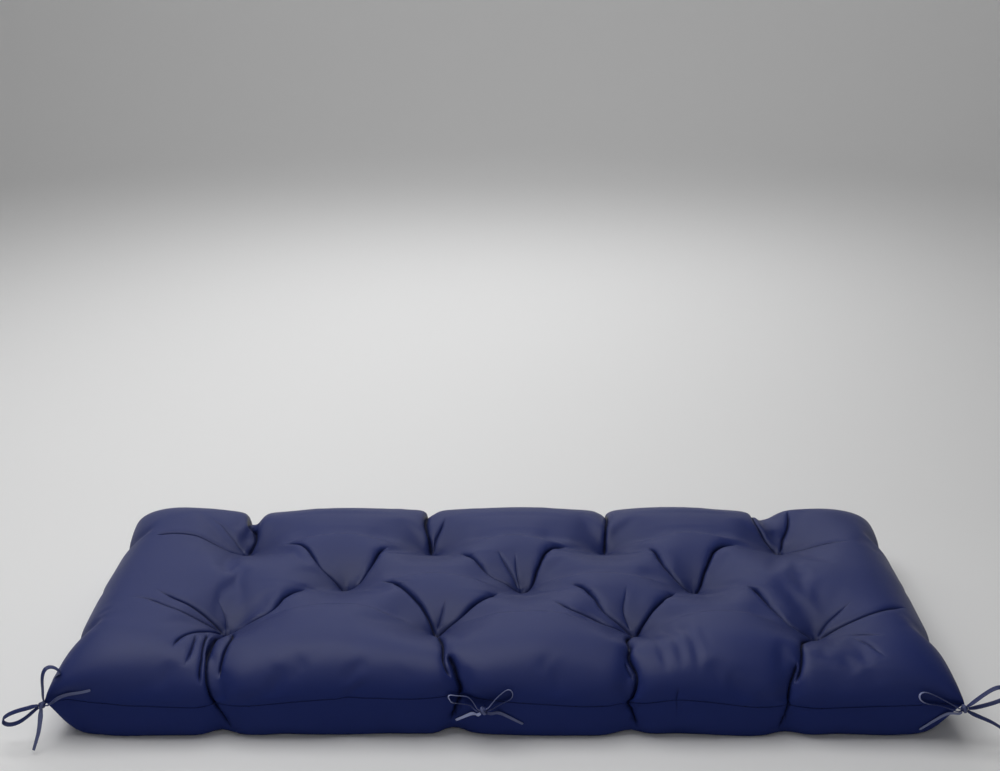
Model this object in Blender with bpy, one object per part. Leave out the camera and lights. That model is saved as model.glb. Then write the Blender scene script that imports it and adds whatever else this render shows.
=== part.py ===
"""Tufted bench cushion, 1.2 m by 0.5 m, with three bow ties on its front seam.

Metres, +Z up. X runs along the bench and the front edge faces -Y. The origin lies under the middle
of the cushion, on the surface that it rests on.

A top and a bottom panel of cloth are sewn together round their edge and filled. Thread pulls the two
panels together at eleven tufts, and a crease runs from each tuft to the next and out to the edges.
Each tie is a pair of narrow tapes, caught in the seam and tied in a bow: a knot, two loops, two tails.
"""

import math
from collections import namedtuple

import bmesh
import bpy
from mathutils import Vector
from mathutils.bvhtree import BVHTree

# The cushion
LENGTH = 1.20  # along X, from corner to corner of the seam
DEPTH = 0.50  # along Y, from corner to corner of the seam
SEAM_HEIGHT = 0.058
TOP_RISE = 0.062  # crown above the seam
BOTTOM_DROP = 0.079  # what the filling would sag below the seam, if nothing held it up
SHOULDER_ENDS = 0.105  # width of the rounded shoulder at the two ends
SHOULDER_SIDES = 0.085  # width of the rounded shoulder at the front and the back
SWELL = 0.013  # how the panels bulge out past the seam
DRAWN_IN = 0.012  # how far the seam draws in between its corners
EAR_LENGTH = 0.07  # the stretch of seam over which a corner tapers to its point

# How far the surface sinks, as a share of its rise, where the thread or a crease holds it
TUFT_SINK = 0.90
CREASE_SINK = 0.36  # half way between two tufts
EDGE_SINK = 0.42  # where a crease leaves the crown
SOFT_SINK = 0.16  # half way along a crease that is hardly drawn in
CREASE_WIDTH = 0.025  # distance from a crease at which its sink fades to about a third
TUFT_WIDTH = 0.048  # the same for the pit round a tuft
SINK_BLEND = 5  # the higher, the more the deepest crease near a point decides

# How far a crease cuts into the edge that it crosses
SIDE_NOTCH = 0.014
END_NOTCH = 0.005
NOTCH_WIDTH = 0.018
END_NOTCH_SHIFT = 0.02  # an end's notches lie this much nearer to the corners than the tufts do

# The grid of faces
SHOULDER_STEPS = 6
STEPS_ALONG = 58
STEPS_ACROSS = 22
GRID_PULL = 0.035  # distance over which the grid gives way, so that a point lies in each pit

Tuft = namedtuple("Tuft", "row x y")
TUFTS = [
    Tuft("front", -0.380, -0.122),
    Tuft("front", -0.098, -0.122),
    Tuft("front", 0.181, -0.126),
    Tuft("front", 0.427, -0.134),
    Tuft("middle", -0.241, 0.000),
    Tuft("middle", 0.020, -0.006),
    Tuft("middle", 0.276, -0.008),
    Tuft("back", -0.388, 0.105),
    Tuft("back", -0.108, 0.104),
    Tuft("back", 0.154, 0.106),
    Tuft("back", 0.420, 0.108),
]
NEXT_TUFT = 0.2  # a crease joins tufts of neighbouring rows that are nearer than this

# The height of the seam wanders along the front edge.
SeamWave = namedtuple("SeamWave", "x rise")
SEAM_WAVES = [
    SeamWave(-0.60, 0.000),
    SeamWave(-0.38, -0.006),
    SeamWave(-0.21, 0.006),
    SeamWave(-0.07, 0.005),
    SeamWave(0.16, -0.006),
    SeamWave(0.23, 0.005),
    SeamWave(0.36, -0.008),
    SeamWave(0.60, 0.000),
]

# The ties
TAPE_WIDTH = 0.006
TAPE_THICKNESS = 0.0014
BUNCHED = 0.5  # share of its width that a tape keeps where it enters the knot
BUNCH_LENGTH = 0.012  # the stretch over which it spreads to its full width
KNOT_RADII = (0.0055, 0.0045, 0.0050)
KNOT_SIDES = 12
KNOT_RINGS = 8
KNOT_GAP = 0.0004  # between a knot and the tapes that leave it
CLOTH_GAP = 0.0014  # between a tape and the cloth, room enough where the cloth is hollow
NEAR_KNOT = 0.014  # a tape rises off the cloth within this distance of the knot's centre
ROUTE_STEPS = 3  # sections between two points of a tape's route
SMOOTH_ROUNDS = 4  # how much a tape's route evens out the facets of the cloth that it lies on

# A strand is one visible stretch of tape. A loop goes out from the knot and comes back to it; a tail
# ends free. Its points are in millimetres from the knot's centre: right, back and up. A strand lies
# flat on the cushion, or on it with one edge down, or clear of it, and then a direction is given for
# the tape's width.
FLAT = "flat"
ON_EDGE = "on edge"
Bow = namedtuple("Bow", "name knot strands")
Strand = namedtuple("Strand", "name is_loop lay points")
BOWS = [
    Bow("left_tie", (-0.6045, -0.2555, 0.0585), [
        Strand("loop_up", True, (0.8, -0.6, 0), [
            (-3, 2, 10), (-4, 5, 24), (-4, 9, 38), (2, 15, 48), (11, 25, 48),
            (12, 38, 36), (2, 43, 20), (-7, 34, 9), (-11, 18, 4)]),
        Strand("loop_out", True, (0, 1, 0), [
            (-10, -3, 2), (-18, -4, 0), (-34, -4, -5), (-46, -4, -10), (-51, -4, -18),
            (-45, -4, -27), (-34, -4, -25), (-20, -4, -14), (-10, -4, -5)]),
        Strand("tail_down", False, (1, 0, 0), [
            (-1, -5, -9), (-2, -8, -18), (-4, -12, -32), (-8, -17, -45), (-11, -21, -54)]),
        Strand("tail_over", False, FLAT, [
            (11, -5, 3), (22, 0, 6), (36, 4, 9), (50, 7, 12), (63, 7, 14)]),
    ]),
    Bow("middle_tie", (-0.0260, -0.2560, 0.0530), [
        Strand("loop_left", True, ON_EDGE, [
            (-10, -2, 6), (-19, -1, 11), (-34, 0, 20), (-41, 0, 20), (-45, 0, 14),
            (-41, 0, 8), (-24, -1, 3), (-11, -2, 0)]),
        Strand("loop_right", True, ON_EDGE, [
            (8, -2, 8), (19, 0, 20), (29, 2, 29), (36, 2, 29), (41, 1, 21),
            (39, 0, 13), (25, 0, 7), (11, -2, 2)]),
        Strand("tail_left", False, FLAT, [
            (-9, -3, -6), (-19, -1, -13), (-31, -1, -20), (-42, 0, -27)]),
        Strand("tail_right", False, FLAT, [
            (10, -3, -4), (20, -1, -9), (34, -1, -14), (50, 0, -22)]),
    ]),
    Bow("right_tie", (0.6035, -0.2565, 0.0565), [
        Strand("loop_over", True, ON_EDGE, [
            (-10, -4, 5), (-23, 0, 9), (-40, 3, 16), (-54, 4, 22), (-62, 4, 21), (-66, 4, 15),
            (-62, 2, 8), (-49, 0, 3), (-24, -2, 0), (-11, -5, -1)]),
        Strand("loop_out", True, (0, 1, 0), [
            (7, -2, 7), (14, -2, 14), (26, -2, 25), (35, -2, 33), (46, -2, 32), (54, -2, 24),
            (51, -2, 14), (40, -2, 8), (24, -2, 3), (11, -2, 1)]),
        Strand("tail_in", False, FLAT, [
            (-8, -5, -7), (-24, 2, -17), (-43, 4, -29), (-58, 6, -38)]),
        Strand("tail_out", False, (0, 1, 0), [
            (9, -3, -6), (22, -5, -13), (41, -6, -25), (58, -9, -41), (70, -12, -53)]),
    ]),
]

# Finishes
NAVY = (0.022, 0.030, 0.105, 1.0)
TIE_NAVY = (0.018, 0.024, 0.085, 1.0)
ROUGHNESS = 0.55

Crease = namedtuple("Crease", "start end middle_sink end_sink")
GridLine = namedtuple("GridLine", "place rise swell face")


def creases():
    """Every crease, as lines in plan: tuft to tuft on the slant, and tuft to the nearest edge."""
    rows = {name: [t for t in TUFTS if t.row == name] for name in ("front", "middle", "back")}
    found = []
    for tuft in rows["middle"]:
        for other in rows["front"] + rows["back"]:
            if math.dist(tuft[1:], other[1:]) < NEXT_TUFT:
                found.append(Crease(tuft[1:], other[1:], CREASE_SINK, TUFT_SINK))
    for name, side in (("front", -1), ("back", 1)):
        for tuft in rows[name]:
            found.append(Crease(tuft[1:], (tuft.x, side * DEPTH / 2), CREASE_SINK, EDGE_SINK))
        for tuft, end in ((rows[name][0], -1), (rows[name][-1], 1)):
            edge = (end * LENGTH / 2, tuft.y + side * END_NOTCH_SHIFT)
            found.append(Crease(tuft[1:], edge, SOFT_SINK, EDGE_SINK))
    for end in (0, -1):
        found.append(Crease(rows["front"][end][1:], rows["back"][end][1:], SOFT_SINK, TUFT_SINK))
    return found


def sink_at(x, y, lines):
    """The share of its rise that the surface loses at a point in plan."""
    total = 0.0
    for tuft in TUFTS:
        away = math.hypot(x - tuft.x, y - tuft.y)
        total += (TUFT_SINK * math.exp(-away / TUFT_WIDTH)) ** SINK_BLEND
    for line in lines:
        ax, ay = line.start
        run_x, run_y = line.end[0] - ax, line.end[1] - ay
        share = ((x - ax) * run_x + (y - ay) * run_y) / (run_x**2 + run_y**2)
        share = min(max(share, 0.0), 1.0)
        away = math.hypot(x - ax - share * run_x, y - ay - share * run_y)
        end_sink = TUFT_SINK if share < 0.5 else line.end_sink
        towards_end = (2 * share - 1) ** 4
        sink = line.middle_sink + (end_sink - line.middle_sink) * towards_end
        total += (sink * math.exp(-away / CREASE_WIDTH)) ** SINK_BLEND
    return min(total ** (1 / SINK_BLEND), TUFT_SINK)


def grid_lines(half, shoulder, inner_steps):
    """Lines across one direction of a panel: place in plan, share of the rise, outward swell, and
    how far the surface faces outwards, from 1 at the seam to 0 on the crown."""
    outer = []
    for step in range(SHOULDER_STEPS):
        angle = math.pi / 2 * step / SHOULDER_STEPS
        place = half - shoulder * (1 - math.cos(angle))
        outer.append(GridLine(place, math.sin(angle), math.sin(2 * angle), math.cos(angle)))
    inner_half = half - shoulder
    inner = [
        GridLine(-inner_half + 2 * inner_half * step / inner_steps, 1.0, 0.0, 0.0)
        for step in range(inner_steps + 1)
    ]
    low = [line._replace(place=-line.place) for line in outer]
    return low + inner + outer[::-1]


def eased(value, points):
    """A smooth curve through (x, y) points, read at one value."""
    value = min(max(value, points[0][0]), points[-1][0])
    for (x0, y0), (x1, y1) in zip(points, points[1:]):
        if value <= x1:
            share = (value - x0) / (x1 - x0)
            share = share * share * (3 - 2 * share)
            return y0 + (y1 - y0) * share
    return points[-1][1]


def notch_at(place, centres, depth):
    """How far an edge is cut in by the creases that cross it."""
    return depth * max(math.exp(-(((place - c) / NOTCH_WIDTH) ** 2)) for c in centres)


def drawn_in_at(place, half):
    """How far the seam is drawn in at a place along an edge whose corners are at -half and half."""
    return DRAWN_IN * math.tanh((half - abs(place)) / EAR_LENGTH)


def nearest_place(lines, place):
    """The place of the grid line nearest to a given one."""
    return min((line.place for line in lines), key=lambda found: abs(found - place))


class CushionForm:
    """Places a point of either panel from its two grid lines."""

    def __init__(self):
        self.lines = creases()
        self.along = grid_lines(LENGTH / 2, SHOULDER_ENDS, STEPS_ALONG)
        self.across = grid_lines(DEPTH / 2, SHOULDER_SIDES, STEPS_ACROSS)
        self.side_notches = {
            side: [t.x for t in TUFTS if t.row == row] for side, row in ((-1, "front"), (1, "back"))
        }
        self.end_notches = [TUFTS[0].y - END_NOTCH_SHIFT, TUFTS[-1].y + END_NOTCH_SHIFT]
        self.pulls = []
        for tuft in TUFTS:
            crossing = (nearest_place(self.along, tuft.x), nearest_place(self.across, tuft.y))
            self.pulls.append((crossing, tuft.x - crossing[0], tuft.y - crossing[1]))

    def pull_at(self, x, y):
        """How far the grid moves at a point in plan, so that one of its points is in each pit."""
        shares = [math.exp(-((math.dist((x, y), at) / GRID_PULL) ** 2)) for at, _, _ in self.pulls]
        pull_x = sum(share * move for share, (_, move, _) in zip(shares, self.pulls))
        pull_y = sum(share * move for share, (_, _, move) in zip(shares, self.pulls))
        return pull_x, pull_y

    def place(self, column, row, up):
        """The point where two grid lines cross, on the top panel if up is 1, or the bottom if -1."""
        u, v = self.along[column], self.across[row]
        x_side, y_side = math.copysign(1, u.place), math.copysign(1, v.place)
        end_cut = notch_at(v.place, self.end_notches, END_NOTCH)
        side_cut = notch_at(u.place, self.side_notches[y_side], SIDE_NOTCH)
        inset_x = u.face * (drawn_in_at(v.place, DEPTH / 2) + end_cut)
        inset_y = v.face * (drawn_in_at(u.place, LENGTH / 2) + side_cut)
        pull_x, pull_y = self.pull_at(u.place, v.place)
        x = u.place + pull_x + x_side * (SWELL * u.swell * v.rise - inset_x)
        y = v.place + pull_y + y_side * (SWELL * v.swell * u.rise - inset_y)
        seam = SEAM_HEIGHT + eased(u.place, SEAM_WAVES) * (1 - v.rise)
        rise = u.rise * v.rise * (1 - sink_at(x, y, self.lines))
        z = seam + TOP_RISE * rise if up > 0 else max(0.0, seam - BOTTOM_DROP * rise)
        return Vector((x, y, z))


def add_panel(bm, form, up):
    """One panel as a grid of faces, set in its filled shape."""
    columns, rows = len(form.along) - 1, len(form.across) - 1
    made = bmesh.ops.create_grid(bm, x_segments=columns, y_segments=rows, size=1.0)["verts"]
    for vert in made:
        column = round((vert.co.x + 1) / 2 * columns)
        row = round((vert.co.y + 1) / 2 * rows)
        vert.co = form.place(column, row, up)
    if up < 0:
        faces = {face for vert in made for face in vert.link_faces}
        bmesh.ops.reverse_faces(bm, faces=list(faces))


def finish_object(bm, name, material):
    """Turns a bmesh into a smooth-shaded object of the scene."""
    mesh = bpy.data.meshes.new(name)
    bm.to_mesh(mesh)
    bm.free()
    mesh.shade_smooth()
    mesh.materials.append(material)
    obj = bpy.data.objects.new(name, mesh)
    bpy.context.scene.collection.objects.link(obj)
    return obj


def make_cushion(material):
    """The filled cushion: both panels in one closed solid, joined along the seam. Also returns its
    surface, for the ties to lie on."""
    form = CushionForm()
    bm = bmesh.new()
    add_panel(bm, form, 1)
    add_panel(bm, form, -1)
    bmesh.ops.remove_doubles(bm, verts=bm.verts, dist=1e-6)
    surface = BVHTree.FromBMesh(bm)
    finish_object(bm, "cushion", material)
    return surface


def smooth_route(points):
    """A Catmull-Rom curve through the points, with ROUTE_STEPS sections between each two."""
    padded = [2 * points[0] - points[1], *points, 2 * points[-1] - points[-2]]
    route = []
    for a, b, c, d in zip(padded, padded[1:], padded[2:], padded[3:]):
        for step in range(ROUTE_STEPS):
            t = step / ROUTE_STEPS
            bend = t * t * (2 * a - 5 * b + 4 * c - d) + t**3 * (3 * (b - c) + d - a)
            route.append(b + (t * (c - a) + bend) / 2)
    return [*route, points[-1]]


def at_knot(knot, towards):
    """The point just off a knot's surface, on the way to another point."""
    way = (towards - knot).normalized()
    to_surface = 1 / math.sqrt(sum((w / r) ** 2 for w, r in zip(way, KNOT_RADII)))
    return knot + way * (to_surface + KNOT_GAP + TAPE_THICKNESS / 2)


def smoothed(vectors):
    """Vectors along a route, each averaged with its neighbours. The first and the last stay."""
    for _ in range(SMOOTH_ROUNDS):
        inner = [(a + 2 * b + c) / 4 for a, b, c in zip(vectors, vectors[1:], vectors[2:])]
        vectors = [vectors[0], *inner, vectors[-1]]
    return vectors


def strand_route(bow, strand, surface):
    """The middle line of a strand, clear of the cushion, and the cloth's outward direction along it."""
    knot = Vector(bow.knot)
    points = [knot + Vector(offset) / 1000 for offset in strand.points]
    ends = [at_knot(knot, points[-1])] if strand.is_loop else []
    reach = CLOTH_GAP + (TAPE_WIDTH if strand.lay == ON_EDGE else TAPE_THICKNESS) / 2
    route = []
    for point in smooth_route([at_knot(knot, points[0]), *points, *ends]):
        place, normal, _, away = surface.find_nearest(point)
        inside = (point - place).dot(normal) < 0
        settled = strand.lay in (FLAT, ON_EDGE) and (point - knot).length > NEAR_KNOT
        route.append(place + normal * reach if inside or away < reach or settled else point)
    outward = [surface.find_nearest(point)[1] for point in route]
    return smoothed(route), smoothed(outward)


def make_strand(bow, strand, surface, material):
    """A flat tape: a strip one face wide along the route, given its thickness."""
    route, outward = strand_route(bow, strand, surface)
    steps = [(b - a).length for a, b in zip(route, route[1:])]
    sections = len(steps)
    bm = bmesh.new()
    strip = bmesh.ops.create_grid(bm, x_segments=sections, y_segments=1, size=1.0)["verts"]
    for vert in strip:
        index = round((vert.co.x + 1) / 2 * sections)
        ahead = (route[min(index + 1, sections)] - route[max(index - 1, 0)]).normalized()
        if strand.lay == FLAT:
            across = outward[index].cross(ahead)
        else:
            across = outward[index] if strand.lay == ON_EDGE else Vector(strand.lay)
            across = across - across.dot(ahead) * ahead
        from_knot = sum(steps[:index])
        if strand.is_loop:
            from_knot = min(from_knot, sum(steps[index:]))
        width = TAPE_WIDTH * (BUNCHED + (1 - BUNCHED) * min(from_knot / BUNCH_LENGTH, 1.0))
        vert.co = route[index] + across.normalized() * (width / 2 * math.copysign(1, vert.co.y))
    tape = finish_object(bm, f"{bow.name}_{strand.name}", material)
    thickness = tape.modifiers.new("thickness", "SOLIDIFY")
    thickness.thickness = TAPE_THICKNESS
    thickness.offset = 0.0


def make_knot(bow, material):
    """The knot of a bow, as one rounded body."""
    bm = bmesh.new()
    bmesh.ops.create_uvsphere(bm, u_segments=KNOT_SIDES, v_segments=KNOT_RINGS, radius=1.0)
    bmesh.ops.scale(bm, vec=KNOT_RADII, verts=bm.verts)
    bmesh.ops.translate(bm, vec=bow.knot, verts=bm.verts)
    finish_object(bm, f"{bow.name}_knot", material)


def cloth_material(name, colour):
    """A plain cloth."""
    material = bpy.data.materials.new(name)
    material.use_nodes = True
    shader = material.node_tree.nodes["Principled BSDF"]
    shader.inputs["Base Color"].default_value = colour
    shader.inputs["Roughness"].default_value = ROUGHNESS
    shader.inputs["Metallic"].default_value = 0.0
    return material


def main():
    """Builds every piece of the cushion."""
    for obj in list(bpy.data.objects):
        bpy.data.objects.remove(obj)
    surface = make_cushion(cloth_material("panel_cloth", NAVY))
    tie_tape = cloth_material("tie_tape", TIE_NAVY)
    for bow in BOWS:
        make_knot(bow, tie_tape)
        for strand in bow.strands:
            make_strand(bow, strand, surface, tie_tape)


main()
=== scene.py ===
"""Looks of a tufted bench cushion with three bow ties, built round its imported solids.

The cushion is two panels of cloth, laid out flat, set in their filled shape and inflated by a cloth
simulation, and then pressed in along the lines that the thread tufts draw. The ties are strips of tape,
laid on the finished cushion.
"""

import logging
import math
from dataclasses import dataclass, field
from enum import Enum

import bmesh
import bpy
import numpy as np
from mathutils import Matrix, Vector
from mathutils.bvhtree import BVHTree


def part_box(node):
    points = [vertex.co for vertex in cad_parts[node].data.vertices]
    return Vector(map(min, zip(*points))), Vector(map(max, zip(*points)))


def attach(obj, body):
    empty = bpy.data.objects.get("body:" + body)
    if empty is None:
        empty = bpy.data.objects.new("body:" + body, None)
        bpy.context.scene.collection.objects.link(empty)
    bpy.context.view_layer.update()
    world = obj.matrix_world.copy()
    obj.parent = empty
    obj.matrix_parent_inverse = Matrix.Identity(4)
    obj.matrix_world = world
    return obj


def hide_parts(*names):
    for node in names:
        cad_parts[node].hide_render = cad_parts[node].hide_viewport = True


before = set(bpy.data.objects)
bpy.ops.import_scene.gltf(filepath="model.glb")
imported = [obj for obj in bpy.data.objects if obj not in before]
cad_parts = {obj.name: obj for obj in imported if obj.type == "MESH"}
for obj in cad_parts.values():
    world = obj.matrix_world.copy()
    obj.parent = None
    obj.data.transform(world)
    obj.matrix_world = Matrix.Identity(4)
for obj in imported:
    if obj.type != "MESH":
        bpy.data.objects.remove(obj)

log = logging.getLogger("bench_cushion")

MM = 0.001
BODY = "root"
PATTERN = "pattern"
BLACK = (0.0, 0.0, 0.0, 1.0)
WHITE = (1.0, 1.0, 1.0, 1.0)
MERGE_GAP = 1e-5
NO_LENGTH = 1e-9


class Side(Enum):
    """Which of the two panels a point of cloth belongs to."""

    TOP = 1
    BOTTOM = -1


class Lay(Enum):
    """How a stretch of tape lies."""

    FLAT = "flat on the cloth"
    ON_EDGE = "on the cloth with one edge down"
    FREE = "clear of the cloth"


# ---- Shader graphs ----


class Wire:
    """An output socket of a shader graph that takes part in plain arithmetic."""

    def __init__(self, graph: "Graph", socket: bpy.types.NodeSocket) -> None:
        """Wraps a socket.

        Args:
            graph: The graph that the socket belongs to.
            socket: The output socket.
        """
        self.graph = graph
        self.socket = socket

    def _with(self, operation: str, first: "Wire | float", second: "Wire | float") -> "Wire":
        """Adds a Math node for two operands."""
        return self.graph.node("ShaderNodeMath", {"operation": operation}, {0: first, 1: second})

    def __add__(self, other: "Wire | float") -> "Wire":
        """Sum."""
        return self._with("ADD", self, other)

    __radd__ = __add__

    def __sub__(self, other: "Wire | float") -> "Wire":
        """Difference."""
        return self._with("SUBTRACT", self, other)

    def __rsub__(self, other: "Wire | float") -> "Wire":
        """Difference from a number."""
        return self._with("SUBTRACT", other, self)

    def __mul__(self, other: "Wire | float") -> "Wire":
        """Product."""
        return self._with("MULTIPLY", self, other)

    __rmul__ = __mul__

    def __truediv__(self, other: "Wire | float") -> "Wire":
        """Quotient."""
        return self._with("DIVIDE", self, other)

    def __pow__(self, other: "Wire | float") -> "Wire":
        """Power."""
        return self._with("POWER", self, other)


class Graph:
    """The node tree of one material."""

    def __init__(self, name: str) -> None:
        """Starts a material with an empty tree.

        Args:
            name: The material's name.
        """
        self.material = bpy.data.materials.new(name)
        self.material.use_nodes = True
        self.tree = self.material.node_tree
        self.tree.nodes.clear()

    def node(
        self,
        kind: str,
        settings: dict | None = None,
        sockets: dict | None = None,
        output: int | str = 0,
    ) -> Wire:
        """Adds a node.

        Args:
            kind: The node's type.
            settings: Its properties, set before its sockets.
            sockets: Values or wires, by the name or the number of the input.
            output: The output to return.

        Returns:
            The wire of that output.
        """
        made = self.tree.nodes.new(kind)
        for key, value in (settings or {}).items():
            setattr(made, key, value)
        for key, value in (sockets or {}).items():
            if isinstance(value, Wire):
                self.tree.links.new(value.socket, made.inputs[key])
            else:
                made.inputs[key].default_value = value
        return Wire(self, made.outputs[output])

    def attribute(self, name: str) -> Wire:
        """Reads a number that the mesh keeps at its points."""
        return self.node("ShaderNodeAttribute", {"attribute_name": name}, output="Fac")

    def pattern(self) -> tuple[Wire, Wire]:
        """Reads the two coordinates of the UV map, in metres."""
        place = self.node("ShaderNodeUVMap", {"uv_map": PATTERN})
        first = self.node("ShaderNodeSeparateXYZ", None, {0: place})
        return first, Wire(self, first.socket.node.outputs[1])

    def noise(self, scale: float, detail: float = 2.0) -> Wire:
        """Adds noise that stays with the object.

        Args:
            scale: Its spots to the metre.
            detail: How many finer layers it has.

        Returns:
            The noise, from 0 to 1.
        """
        place = self.node("ShaderNodeTexCoord", output="Object")
        return self.node("ShaderNodeTexNoise", None, {"Vector": place, "Scale": scale, "Detail": detail})

    def mix(self, share: Wire, low: tuple | Wire, high: tuple | Wire) -> Wire:
        """Mixes two colours.

        Args:
            share: How much of the second colour to take, from 0 to 1.
            low: The first colour.
            high: The second colour.

        Returns:
            The mixed colour.
        """
        settings = {"data_type": "RGBA", "clamp_factor": True}
        return self.node("ShaderNodeMix", settings, {0: share, 6: low, 7: high}, output=2)

    def maths(self, operation: str, *values: Wire | float) -> Wire:
        """A Math node for an operation that has no sign of its own.

        Args:
            operation: The node's operation.
            values: Its operands.

        Returns:
            The result.
        """
        return self.node("ShaderNodeMath", {"operation": operation}, dict(enumerate(values)))

    def near(self, distance: Wire, width: float) -> Wire:
        """A share that falls evenly from 1 at a distance of 0 to 0 at a width."""
        return 1 - self.maths("MINIMUM", distance / width, 1.0)

    def darkened(self, colour: Wire, share: Wire) -> Wire:
        """Takes a colour a share of the way to black."""
        return self.mix(share, colour, BLACK)

    def bump(self, height: Wire) -> Wire:
        """Turns a relief in metres into a normal."""
        return self.node("ShaderNodeBump", None, {"Strength": 1.0, "Distance": 1.0, "Height": height})

    def surface(self, specular: float, sockets: dict) -> Wire:
        """Adds a surface with a specular level and what else its sockets get."""
        return self.node("ShaderNodeBsdfPrincipled", None, {**sockets, "Specular IOR Level": specular})

    def finish(self, shader: Wire) -> bpy.types.Material:
        """Connects the surface and returns the material.

        Args:
            shader: The surface.

        Returns:
            The material.
        """
        end = self.tree.nodes.new("ShaderNodeOutputMaterial")
        self.tree.links.new(shader.socket, end.inputs["Surface"])
        return self.material


# ---- Finishes ----


@dataclass(frozen=True)
class WovenCloth:
    """A plain-woven dyed cloth that reads its panel's flat pattern, in metres, as its UV map.

    Use has given its top a faint gloss, and the sides below are still matt.
    """

    name: str
    colour: tuple = (0.0105, 0.0200, 0.1120, 1.0)
    worn_colour: tuple = (0.0155, 0.0275, 0.1400, 1.0)
    worn_by_cloud: float = 0.55
    worn_by_fuzz: float = 0.25
    worn_by_weave: float = 0.20
    cloud_scale: float = 9.0
    cloud_detail: float = 3.0
    fuzz_scale: float = 420.0
    roughness: float = 0.46
    fuzz_roughness: float = 0.12
    cloud_roughness: float = 0.06
    specular: float = 0.33
    thread_pitch: float = 0.00042
    thread_height: float = 0.00005
    fuzz_height: float = 0.00003
    ripple_size: float = 0.028
    ripple_detail: float = 1.5
    ripple_height: float = 0.0001
    # painted shade in the fold grooves, growing with how deep they are pressed
    painted_fold_shade: float = 0.5
    fold_power: float = 3.0
    # painted shade in the tufts' hollows
    painted_hollow_shade: float = 0.25
    # a thin line of painted shade along the seam groove
    seam_shade_width: float = 0.0016
    painted_seam_shade: float = 0.85
    seam_groove: float = 0.0009
    seam_groove_width: float = 0.003
    matt_share: float = 0.8
    # a thin line of painted shade along the folds
    line_shade_width: float = 0.0013
    painted_line_shade: float = 0.8
    groove_width: float = 0.0026
    groove_power: float = 1.6
    groove_depth: float = 0.0014

    def material(self) -> bpy.types.Material:
        """Builds the cloth's shader.

        Returns:
            The material.
        """
        g = Graph(self.name)
        first, second = g.pattern()
        across, along = first * (math.pi / self.thread_pitch), second * (math.pi / self.thread_pitch)
        warp = g.maths("ABSOLUTE", g.maths("SINE", across))
        weft = g.maths("ABSOLUTE", g.maths("SINE", along))
        over = g.maths("SINE", across * 0.5) * g.maths("SINE", along * 0.5) * 0.5 + 0.5
        weave = g.maths("MAXIMUM", warp * over, weft * (1 - over))
        cloud = g.noise(self.cloud_scale, self.cloud_detail)
        fuzz = g.noise(self.fuzz_scale)
        slub = g.noise(1 / self.ripple_size, self.ripple_detail)
        worn = cloud * self.worn_by_cloud + fuzz * self.worn_by_fuzz + weave * self.worn_by_weave
        colour = g.mix(worn, self.colour, self.worn_colour)
        fold, gap = g.attribute("fold_share"), g.attribute("seam_gap")
        beside = g.maths("ABSOLUTE", g.attribute("fold_side"))
        # Painted shade: the colour is darkened in the tufts' hollows, in the fold grooves, along the fold
        # lines and along the seam groove.
        for share in (
            g.attribute("tuft_hollow_shade") * self.painted_hollow_shade,
            g.attribute("fold_shade") ** self.fold_power * self.painted_fold_shade,
            fold * g.near(beside, self.line_shade_width) * self.painted_line_shade,
            g.near(gap, self.seam_shade_width) * self.painted_seam_shade,
        ):
            colour = g.darkened(colour, share)
        roughness = self.roughness + (fuzz - 0.5) * self.fuzz_roughness
        roughness = roughness + (cloud - 0.5) * self.cloud_roughness
        height = weave * self.thread_height + fuzz * self.fuzz_height + slub * self.ripple_height
        height = height - g.near(gap, self.seam_groove_width) * self.seam_groove
        height = height - fold * g.near(beside, self.groove_width) ** self.groove_power * self.groove_depth
        sockets = {"Base Color": colour, "Roughness": roughness, "Normal": g.bump(height)}
        satin, matt = g.surface(self.specular, sockets), g.surface(0.0, sockets)
        unworn = g.attribute("unworn") * self.matt_share
        return g.finish(g.node("ShaderNodeMixShader", None, {0: unworn, 1: satin, 2: matt}))


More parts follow.
